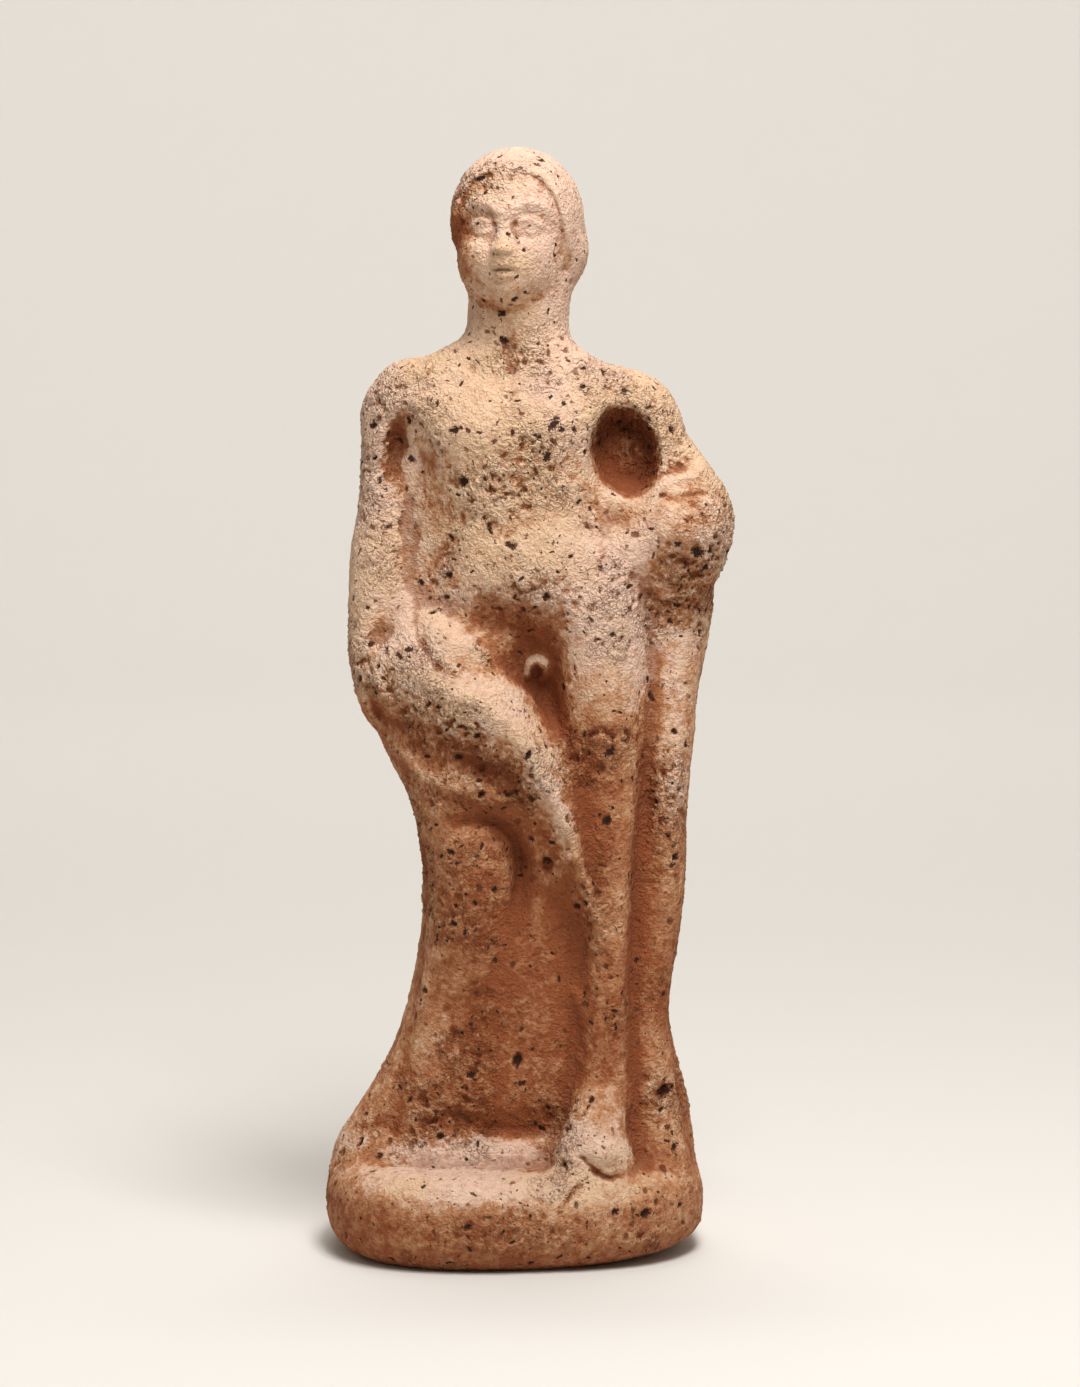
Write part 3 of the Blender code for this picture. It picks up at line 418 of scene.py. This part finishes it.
# Relief of the surface: height in millimetres where it is sound, and what full wear adds
BROAD_RELIEF = (0.14, 0.0)
LUMP_RELIEF = (0.05, 0.26)
CRUMB_RELIEF = (0.12, 0.45)
PIT_RELIEF = (-0.10, -0.45)
SMOOTH_FOOT = 1.2 * MM  # the relief fades out over this height, so that the underside stays flat


def roughen(mesh):
    """Uneven hand-pressed surface, breaking into crumbs where it is worn."""
    places, normals = read_places(mesh), read_normals(mesh)
    worn = worn_amount(places, normals)
    rise = np.zeros(len(places))
    for (sound, added), field in (
        (BROAD_RELIEF, noise_field(places, 160.0, 2, 2.0)),
        (LUMP_RELIEF, noise_field(places, 520.0, 3, 3.0)),
        (CRUMB_RELIEF, np.abs(noise_field(places, 1250.0, 2, 4.0)) - 0.25),
        (PIT_RELIEF, smooth_step(noise_field(places, 640.0, 2, 6.0), 0.32, 0.62)),
    ):
        rise += (sound + added * worn) * field
    rise = MM * rise * smooth_step(places[:, 2], 0.0, SMOOTH_FOOT)
    write_places(mesh, places + normals * rise[:, None])


def point_tree(points):
    tree = KDTree(len(points))
    for i, point in enumerate(points):
        tree.insert(point, i)
    tree.balance()
    return tree


class Grains:
    """Grit and the voids it has left, each with its own directions, lengths and tone; the larger ones are
    hollowed and still painted as dark grit, partly grit and partly painted shade inside the pits.
    """

    def __init__(self, mesh, count):
        places, normals = read_places(mesh), read_normals(mesh)
        worn = worn_amount(places, normals)
        clumps = np.exp(2.2 * noise_field(places, 210.0, 2, 5.0))
        weight = (0.3 + 1.3 * worn) * clumps * smooth_step(places[:, 2], 0.0004, 0.0012)
        picked = RNG.choice(len(places), size=3 * count, replace=False, p=weight / weight.sum())
        size = np.sort(RNG.random(3 * count))[::-1]
        half_long = MM * (0.14 + 0.12 * size + 0.40 * size**10)
        kept = self.spaced(places[picked], half_long)
        kept = np.sort(RNG.permutation(kept)[:count])
        total = len(kept)
        along = RNG.normal(size=(total, 3))
        half_wide = half_long[kept] * RNG.uniform(0.3, 0.85, total)
        tone = RNG.random(total)

        chosen, longs, wides, across = self.marked(places, normals)
        picked = np.concatenate([chosen, picked[kept]])
        self.centre, self.normal = places[picked], normals[picked]
        self.half_long = np.concatenate([longs, half_long[kept]])
        self.half_wide = np.concatenate([wides, half_wide])
        self.tone = np.concatenate([np.full(len(chosen), MARKED_TONE), tone])
        side = np.cross(self.normal, np.vstack([across, along]))
        self.long = side / np.linalg.norm(side, axis=1)[:, None]
        self.wide = np.cross(self.normal, self.long)
        self.depth = self.half_wide * RNG.uniform(0.4, 1.2, len(picked))

    @staticmethod
    def marked(places, normals):
        """The marked grains on the front: vertex, half lengths and the direction across each."""
        x, z = places[:, 0] / UNIT, (places[:, 2] - BASE_HEIGHT) / UNIT
        gaps = [(x - row[0]) ** 2 + (z - row[1]) ** 2 + 100 * (normals[:, 1] > -0.1) for row in MARKED]
        chosen = np.array([gap.argmin() for gap in gaps])
        rows = np.array(MARKED)
        tilt = np.radians(rows[:, 4] + 90)
        across = np.column_stack([np.cos(tilt), np.zeros(len(rows)), np.sin(tilt)])
        return chosen, MM * rows[:, 2], MM * rows[:, 3], across

    @staticmethod
    def spaced(points, radii):
        """The points, largest first, that keep clear of those before them."""
        cells, kept, cell = {}, [], 0.003
        for i, (point, radius) in enumerate(zip(points, radii)):
            x, y, z = (int(math.floor(value / cell)) for value in point)
            close = [j for a in (-1, 0, 1) for b in (-1, 0, 1) for c in (-1, 0, 1)
                     for j in cells.get((x + a, y + b, z + c), ())]
            gaps = (np.linalg.norm(points[j] - point) - 1.5 * (radii[j] + radius) for j in close)
            if all(gap > GRAIN_GAP for gap in gaps):
                kept.append(i)
                cells.setdefault((x, y, z), []).append(i)
        return np.array(kept)

    def local(self, i, off):
        """Offsets from the centre in the grain's own half lengths."""
        return off @ self.long[i] / self.half_long[i], off @ self.wide[i] / self.half_wide[i]

    def press(self, mesh):
        """Hollow the larger ones out of the surface, with a low torn rim."""
        places = read_places(mesh)
        tree = point_tree(places)
        moved = places.copy()
        for i in np.flatnonzero(self.half_long > PRESSED_GRAIN):
            reached = tree.find_range(self.centre[i], 2.2 * self.half_long[i])
            found = [index for _, index, _ in reached]
            if not found:
                continue
            u, v = self.local(i, places[found] - self.centre[i])
            reach = np.sqrt(u * u + v * v)
            shift = -np.exp(-(reach**3)) + 0.18 * np.exp(-((reach - 1.45) / 0.3) ** 2)
            moved[found] += self.normal[i] * (self.depth[i] * shift)[:, None]
        write_places(mesh, moved)

    def paint(self, mesh):
        """Give each vertex its place in the nearest grain, so that the shader draws a crisp rim."""
        places = read_places(mesh)
        tree = point_tree(self.centre)
        at_grain, near = np.empty((len(places), 3)), np.empty(len(places))
        for k, place in enumerate(places):
            best = np.inf
            for _, i, _ in tree.find_n(place, 3):
                off = place - self.centre[i]
                u, v = self.local(i, off)
                sunk = off @ self.normal[i] / (2 * self.half_long[i])
                gap = u * u + v * v + sunk * sunk
                if gap < best:
                    best, at_grain[k] = gap, (u, v, self.tone[i])
            near[k] = math.sqrt(best)
        layer = mesh.attributes.new("at_grain", "FLOAT_VECTOR", "POINT")
        layer.data.foreach_set("vector", at_grain.astype(np.float32).ravel())
        write_attribute(mesh, "near", near)


def write_attribute(mesh, name, values):
    layer = mesh.attributes.new(name, "FLOAT", "POINT")
    layer.data.foreach_set("value", np.asarray(values, dtype=np.float32))


# How far above the surface the view of the sky starts, and what is near enough to block it
SKY_LIFT = 0.4 * MM
SKY_REACH = 50 * MM


def openness(mesh, rays=40):
    """How much of the sky above each vertex of a coarse mesh is open, from 0 to 1."""
    tree = BVHTree.FromPolygons([v.co for v in mesh.vertices], [p.vertices for p in mesh.polygons])
    sky = []
    for i in range(rays):
        up = (i + 0.5) / rays
        turn = i * math.pi * (3 - math.sqrt(5))
        flat = math.sqrt(1 - up * up)
        sky.append(Vector((flat * math.cos(turn), flat * math.sin(turn), up)))
    whole = sum(d.z for d in sky)
    result = []
    for vertex in mesh.vertices:
        turned = vertex.normal.to_track_quat("Z", "Y")
        start = vertex.co + vertex.normal * SKY_LIFT
        seen = sum(d.z for d in sky if tree.ray_cast(start, turned @ d, SKY_REACH)[0] is None)
        result.append(seen / whole)
    return np.array(result)


def paint_hollows(mesh, source):
    """Attributes for the clay: how enclosed, sunk, proud, worn and pale each place is; the shader paints
    shade from how enclosed and sunk it is, and partly a highlight from how proud.
    """
    open_there = openness(source)
    tree = point_tree([v.co for v in source.vertices])
    places, normals, edges = read_places(mesh), read_normals(mesh), read_edges(mesh)
    enclosed = np.empty(len(places))
    for k, place in enumerate(places):
        close = tree.find_n(place, 4)
        weights = [1 / (distance + SKY_LIFT) for _, _, distance in close]
        total = sum(w * open_there[index] for w, (_, index, _) in zip(weights, close))
        enclosed[k] = 1 - total / sum(weights)
    write_attribute(mesh, "enclosed", enclosed)
    sunk = ((relaxed(places, edges, NEAR_ROUNDS) - places) * normals).sum(axis=1) / MM
    write_attribute(mesh, "sunk", sunk)
    proud = ((places - relaxed(places, edges, FAR_ROUNDS)) * normals).sum(axis=1) / MM
    write_attribute(mesh, "proud", proud)
    broad = relaxed(normals, edges, BROAD_ROUNDS)
    write_attribute(mesh, "worn", worn_amount(places, broad))
    write_attribute(mesh, "tone", tone_amount(places, broad))


# Material

def linear(red, green, blue):
    """A colour given in 0 to 255 display steps."""
    def one(v):
        v /= 255
        return v / 12.92 if v <= 0.04045 else ((v + 0.055) / 1.055) ** 2.4
    return (one(red), one(green), one(blue), 1.0)


PINK_BUFF = linear(220, 186, 164)
YELLOW_BUFF = linear(215, 180, 147)
TAN_CLAY = linear(185, 132, 94)
ORANGE_CLAY = linear(146, 82, 49)
# Deep clay colour, used for painted shade in hollows and creases, and for the darker ring round grains
DEEP_CLAY_AND_SHADE = linear(116, 58, 32)
PALE_DUST = linear(234, 212, 194)
DARK_GRIT = linear(56, 37, 29)
# Brown grit colour, also used for painted shade in the valleys between crumbs
BROWN_GRIT_AND_SHADE = linear(118, 75, 50)

# Noise scales are per metre
CRUMB_SCALE = 1000.0
# Fine specks: cells to the metre, share of cells with a speck, least and most radius in cells, stretch
SPECKS = (
    (2100.0, 0.24, 0.10, 0.42, (1.0, 1.0, 0.6)),
    (1300.0, 0.26, 0.10, 0.42, (0.55, 0.8, 1.0)),
    (850.0, 0.30, 0.10, 0.38, (0.9, 1.0, 0.7)),
)


class Shader:
    """Short hands for building a node material."""

    def __init__(self, name):
        self.material = bpy.data.materials.new(name)
        self.material.use_nodes = True
        self.tree = self.material.node_tree
        self.bsdf = self.tree.nodes["Principled BSDF"]
        self.place = self.node("ShaderNodeTexCoord").outputs["Object"]

    def node(self, kind, **values):
        made = self.tree.nodes.new(kind)
        for key, value in values.items():
            setattr(made, key, value)
        return made

    def link(self, source, target):
        self.tree.links.new(source, target)

    def feed(self, socket, value):
        if isinstance(value, bpy.types.NodeSocket):
            self.link(value, socket)
        else:
            socket.default_value = value

    def math(self, operation, a, b=0.0):
        made = self.node("ShaderNodeMath", operation=operation)
        self.feed(made.inputs[0], a)
        self.feed(made.inputs[1], b)
        return made.outputs[0]

    def ramp(self, value, low, high, to_low=0.0, to_high=1.0):
        made = self.node("ShaderNodeMapRange", interpolation_type="SMOOTHSTEP")
        self.feed(made.inputs["Value"], value)
        ends = {"From Min": low, "From Max": high, "To Min": to_low, "To Max": to_high}
        for socket, number in ends.items():
            made.inputs[socket].default_value = number
        return made.outputs["Result"]

    def even_ramp(self, value, low, high):
        """The value from low to high as 0 to 1, held to those ends."""
        made = self.node("ShaderNodeMapRange")
        self.feed(made.inputs["Value"], value)
        made.inputs["From Min"].default_value = low
        made.inputs["From Max"].default_value = high
        return made.outputs["Result"]

    def mix(self, amount, a, b):
        made = self.node("ShaderNodeMix", data_type="RGBA")
        factor, first, second = made.inputs[0], made.inputs[6], made.inputs[7]
        self.feed(factor, amount)
        self.feed(first, a)
        self.feed(second, b)
        return made.outputs[2]

    def noise(self, scale, detail=4.0, roughness=0.55):
        made = self.node("ShaderNodeTexNoise")
        self.link(self.place, made.inputs["Vector"])
        made.inputs["Scale"].default_value = scale
        made.inputs["Detail"].default_value = detail
        made.inputs["Roughness"].default_value = roughness
        return made.outputs["Fac"]

    def cells(self, scale, stretch):
        """Distance to the nearest of many angular cells, and three numbers picked for each cell."""
        warp = self.node("ShaderNodeTexNoise")
        self.link(self.place, warp.inputs["Vector"])
        warp.inputs["Scale"].default_value = 0.9 * scale
        shift = self.node("ShaderNodeVectorMath", operation="SCALE")
        self.link(warp.outputs["Color"], shift.inputs[0])
        shift.inputs["Scale"].default_value = 1.1 / scale
        moved = self.node("ShaderNodeVectorMath", operation="ADD")
        self.link(self.place, moved.inputs[0])
        self.link(shift.outputs[0], moved.inputs[1])
        squeezed = self.node("ShaderNodeVectorMath", operation="MULTIPLY")
        self.link(moved.outputs[0], squeezed.inputs[0])
        squeezed.inputs[1].default_value = stretch
        made = self.node("ShaderNodeTexVoronoi", distance="MANHATTAN")
        self.link(squeezed.outputs[0], made.inputs["Vector"])
        made.inputs["Scale"].default_value = scale
        return made.outputs["Distance"], self.split(made.outputs["Color"])

    def split(self, vector):
        made = self.node("ShaderNodeSeparateXYZ")
        self.link(vector, made.inputs[0])
        return made.outputs

    def attribute(self, name, kind="Fac"):
        return self.node("ShaderNodeAttribute", attribute_name=name).outputs[kind]

    def ragged(self, scale, amount):
        """Noise round zero that tears an edge."""
        return self.math("MULTIPLY", self.math("SUBTRACT", self.noise(scale, 2.0), 0.5), amount)


def clay_colour(s):
    """Pale skin and orange clay where it has gone, with painted light and shade: paler on what looks up,
    and on what stands proud partly as worn edges and partly as painted highlight; darker orange clay in
    hollows, creases and on what looks down.
    """
    enclosed, sunk = s.attribute("enclosed"), s.attribute("sunk")
    upward = s.split(s.node("ShaderNodeNewGeometry").outputs["Normal"])[2]
    # How much pale skin is left, with painted light and shade added to it below
    skin = s.attribute("tone")
    for part in (
        # Painted light and shade: paler on what looks up, darker on what looks down
        s.ramp(upward, 0.0, 0.8, 0.0, 0.2),
        s.ramp(upward, -0.6, 0.0, -0.3, 0.0),
        s.ramp(s.noise(60.0), 0.3, 0.7, -0.12, 0.12),
        s.ramp(s.noise(380.0, 4.0, 0.65), 0.3, 0.7, -0.20, 0.20),
        s.ramp(s.noise(1100.0, 2.0), 0.35, 0.65, -0.14, 0.14),
        # Paler on what stands proud: partly worn edges, partly painted highlight
        s.ramp(s.attribute("proud"), -0.9, 0.9, -0.2, 0.2),
        # Painted light and shade: paler on small rises, darker in small creases
        s.ramp(sunk, -0.2, 0.2, 0.18, -0.22),
        # Painted shade: less pale where hollows hide the sky
        s.ramp(enclosed, 0.15, 0.9, 0.0, -0.95),
    ):
        skin = s.math("ADD", skin, part)
    buff = s.mix(s.ramp(s.noise(42.0, 3.0), 0.42, 0.62), PINK_BUFF, YELLOW_BUFF)
    colour = s.mix(s.even_ramp(skin, 0.0, 0.55), ORANGE_CLAY, TAN_CLAY)
    colour = s.mix(s.even_ramp(skin, 0.5, 1.0), colour, buff)
    # Painted shade: deep clay where hollows hide the sky and in small creases
    colour = s.mix(s.ramp(enclosed, 0.45, 0.95, 0.0, 0.6), colour, DEEP_CLAY_AND_SHADE)
    colour = s.mix(s.ramp(sunk, 0.05, 0.3, 0.0, 0.5), colour, DEEP_CLAY_AND_SHADE)
    colour = s.mix(s.ramp(s.noise(700.0, 3.0), 0.45, 0.75, 0.0, 0.3), colour, ORANGE_CLAY)
    dusty = s.ramp(s.noise(420.0, 2.0), 0.55, 0.8, 0.0, 0.3)
    return s.mix(s.math("MULTIPLY", dusty, s.even_ramp(skin, 0.5, 1.1)), colour, PALE_DUST)


def add_valleys(s, colour, worn):
    """Painted shade: torn dark valleys between the crumbs, lying in the valleys of the crumb bump."""
    valley = s.ramp(s.math("ABSOLUTE", s.ragged(CRUMB_SCALE, 1.0)), 0.0, 0.05, 1.0, 0.0)
    torn = s.math("MULTIPLY", s.ramp(s.noise(330.0, 2.0), 0.42, 0.6), s.ramp(worn, 0.05, 0.7, 0.3, 1.0))
    return s.mix(s.math("MULTIPLY", s.math("MULTIPLY", valley, torn), 0.75), colour, BROWN_GRIT_AND_SHADE)


def add_specks(s, colour, worn):
    """Fine specks: a few of many cells, more of them where the clay is worn, each with its own size."""
    for scale, share, least, most, stretch in SPECKS:
        distance, pick = s.cells(scale, stretch)
        chosen = s.math("LESS_THAN", pick[0], s.ramp(worn, 0.0, 0.8, 0.5 * share, 1.7 * share))
        radius = s.ramp(pick[1], 0.0, 1.0, least, most)
        inside = s.ramp(s.math("SUBTRACT", distance, radius), -0.06, 0.06, 0.8, 0.0)
        speck = s.mix(s.ramp(pick[2], 0.0, 0.7), DARK_GRIT, BROWN_GRIT_AND_SHADE)
        colour = s.mix(s.math("MULTIPLY", inside, chosen), colour, speck)
    return colour


def add_grit(s, colour):
    """Grit, angular and torn at its rim, in a darker ring: the colour, and where the grit is. In the
    hollowed pits the dark is partly grit and partly painted shade.
    """
    u, v, tone = s.split(s.attribute("at_grain", "Vector"))
    u, v = s.math("ADD", u, s.ragged(2300.0, 2.2)), s.math("ADD", v, s.ragged(2700.0, 2.2))
    u, v = s.math("ABSOLUTE", u), s.math("ABSOLUTE", v)
    round_reach = s.math("SQRT", s.math("ADD", s.math("MULTIPLY", u, u), s.math("MULTIPLY", v, v)))
    reach = s.math("MULTIPLY", s.math("ADD", s.math("MAXIMUM", u, v), round_reach), 0.56)
    gate = s.ramp(s.attribute("near"), 1.4, 1.7, 1.0, 0.0)
    dark_ring = s.math("MULTIPLY", s.ramp(reach, 0.9, 1.5, 0.45, 0.0), gate)
    colour = s.mix(dark_ring, colour, DEEP_CLAY_AND_SHADE)
    # Grit colour; in the hollowed pits it is partly painted shade
    inside = s.math("MULTIPLY", s.ramp(reach, 0.85, 1.15, 1.0, 0.0), gate)
    grit = s.mix(s.ramp(tone, 0.3, 0.95), DARK_GRIT, BROWN_GRIT_AND_SHADE)
    return s.mix(s.math("MULTIPLY", inside, s.ramp(tone, 0.4, 1.0, 0.95, 0.5)), colour, grit), inside


def add_bump(s, worn, in_grit):
    """Crumbs with sharp valleys, finer grain over them, and the sunk grit, in millimetres."""
    ridges = s.math("ABSOLUTE", s.ragged(CRUMB_SCALE, 2.0))
    crumbs = s.math("MULTIPLY", ridges, s.ramp(worn, 0.0, 0.8, 0.45, 1.0))
    grain = s.math("MULTIPLY", s.noise(2200.0, 3.0, 0.6), s.ramp(worn, 0.0, 1.0, 0.24, 0.45))
    relief = s.math("SUBTRACT", s.math("ADD", crumbs, grain), s.math("MULTIPLY", in_grit, 0.10))
    bump = s.node("ShaderNodeBump")
    bump.inputs["Distance"].default_value = MM
    s.link(relief, bump.inputs["Height"])
    s.link(bump.outputs["Normal"], s.bsdf.inputs["Normal"])


def clay_material():
    s = Shader("terracotta")
    worn = s.attribute("worn")
    colour = add_valleys(s, clay_colour(s), worn)
    colour = add_specks(s, colour, worn)
    colour, in_grit = add_grit(s, colour)
    s.link(colour, s.bsdf.inputs["Base Color"])
    s.link(s.ramp(s.noise(300.0), 0.3, 0.7, 0.84, 0.97), s.bsdf.inputs["Roughness"])
    s.bsdf.inputs["Specular IOR Level"].default_value = 0.2
    add_bump(s, worn, in_grit)
    return s.material


def build_figurine():
    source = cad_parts[NODE].data
    skin = refined(source.copy(), skin_over)
    soften(skin)
    work_front(skin)
    roughen(skin)
    grains = Grains(skin, GRAINS)
    grains.press(skin)
    skin = refined(skin, thin_out)
    grains.paint(skin)
    paint_hollows(skin, source)
    skin.materials.clear()
    skin.materials.append(clay_material())
    skin.shade_smooth()
    figurine = bpy.data.objects.new("clay_figurine", skin)
    bpy.context.scene.collection.objects.link(figurine)
    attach(figurine, "root")
    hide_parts(NODE)
    return figurine


# Stage, light and camera, in metres and watts

FLOOR_RADIUS = 1.1
SWEEP_RADIUS = 0.7
SWEEP_STEPS = 12
WALL_TOP = 2.4
FLOOR_COLOUR = linear(218, 215, 210)
# Name, place, point that it is aimed at, size, power and colour
LIGHTS = (
    ("key", (0.08, -0.18, 0.50), (0, 0, 0.10), 0.14, 1.65, (1.0, 0.985, 0.97)),
    ("low key", (0.05, -0.30, 0.42), (0, 0, 0.12), 0.12, 0.85, (1.0, 0.985, 0.97)),
    ("backdrop", (0.0, 0.5, 1.5), (0, 1.8, 0.7), 0.8, 19.0, (1.0, 0.98, 0.96)),
)
SKY_COLOUR = (1.0, 0.96, 0.91, 1.0)
SKY_STRENGTH = 0.42
CAMERA_PLACE = (0.004, -0.62, 0.1365)
CAMERA_DIP = math.radians(4.6)
SENSOR_MM = 36.0
LENS_MM = 103.8


def build_stage():
    """A pale floor that sweeps up into a wall all round."""
    profile = [(0.0, 0.0), (0.4, 0.0), (FLOOR_RADIUS, 0.0)]
    for step in range(1, SWEEP_STEPS + 1):
        turn = math.radians(90 * step / SWEEP_STEPS)
        profile.append((FLOOR_RADIUS + SWEEP_RADIUS * math.sin(turn), SWEEP_RADIUS * (1 - math.cos(turn))))
    profile.append((FLOOR_RADIUS + SWEEP_RADIUS, WALL_TOP))
    sides = 96
    verts, faces = [], []
    for radius, z in profile:
        for i in range(sides):
            turn = 2 * math.pi * i / sides
            verts.append((radius * math.cos(turn), radius * math.sin(turn), z))
    for ring in range(len(profile) - 1):
        for i in range(sides):
            a, b = ring * sides + i, ring * sides + (i + 1) % sides
            faces.append((a, b, b + sides, a + sides))
    mesh = bpy.data.meshes.new("floor")
    mesh.from_pydata(verts, [], faces)
    mesh.shade_smooth()
    material = bpy.data.materials.new("floor")
    material.use_nodes = True
    shader = material.node_tree.nodes["Principled BSDF"]
    shader.inputs["Base Color"].default_value = FLOOR_COLOUR
    shader.inputs["Roughness"].default_value = 0.8
    mesh.materials.append(material)
    floor = bpy.data.objects.new("floor", mesh)
    bpy.context.scene.collection.objects.link(floor)


def add_light(name, place, aim, size, power, colour):
    light = bpy.data.lights.new(name, "AREA")
    light.size, light.energy, light.color = size, power, colour
    holder = bpy.data.objects.new(name, light)
    holder.location = place
    holder.visible_camera = False
    holder.rotation_euler = (Vector(aim) - Vector(place)).to_track_quat("-Z", "Y").to_euler()
    bpy.context.scene.collection.objects.link(holder)


def build_light():
    for row in LIGHTS:
        add_light(*row)
    world = bpy.data.worlds.new("studio")
    world.use_nodes = True
    sky = world.node_tree.nodes["Background"]
    sky.inputs["Color"].default_value = SKY_COLOUR
    sky.inputs["Strength"].default_value = SKY_STRENGTH
    bpy.context.scene.world = world


def build_camera():
    """Level with the chest and looking slightly down, as far off as a table-top portrait lens."""
    camera = bpy.data.cameras.new("camera")
    camera.sensor_width = SENSOR_MM
    camera.lens = LENS_MM
    camera.clip_start, camera.clip_end = 0.01, 50.0
    holder = bpy.data.objects.new("camera", camera)
    holder.location = CAMERA_PLACE
    holder.rotation_euler = (math.pi / 2 - CAMERA_DIP, 0.0, 0.0)
    bpy.context.scene.collection.objects.link(holder)
    bpy.context.scene.camera = holder


build_figurine()
build_stage()
build_light()
build_camera()
bpy.context.scene.view_settings.view_transform = "Standard"
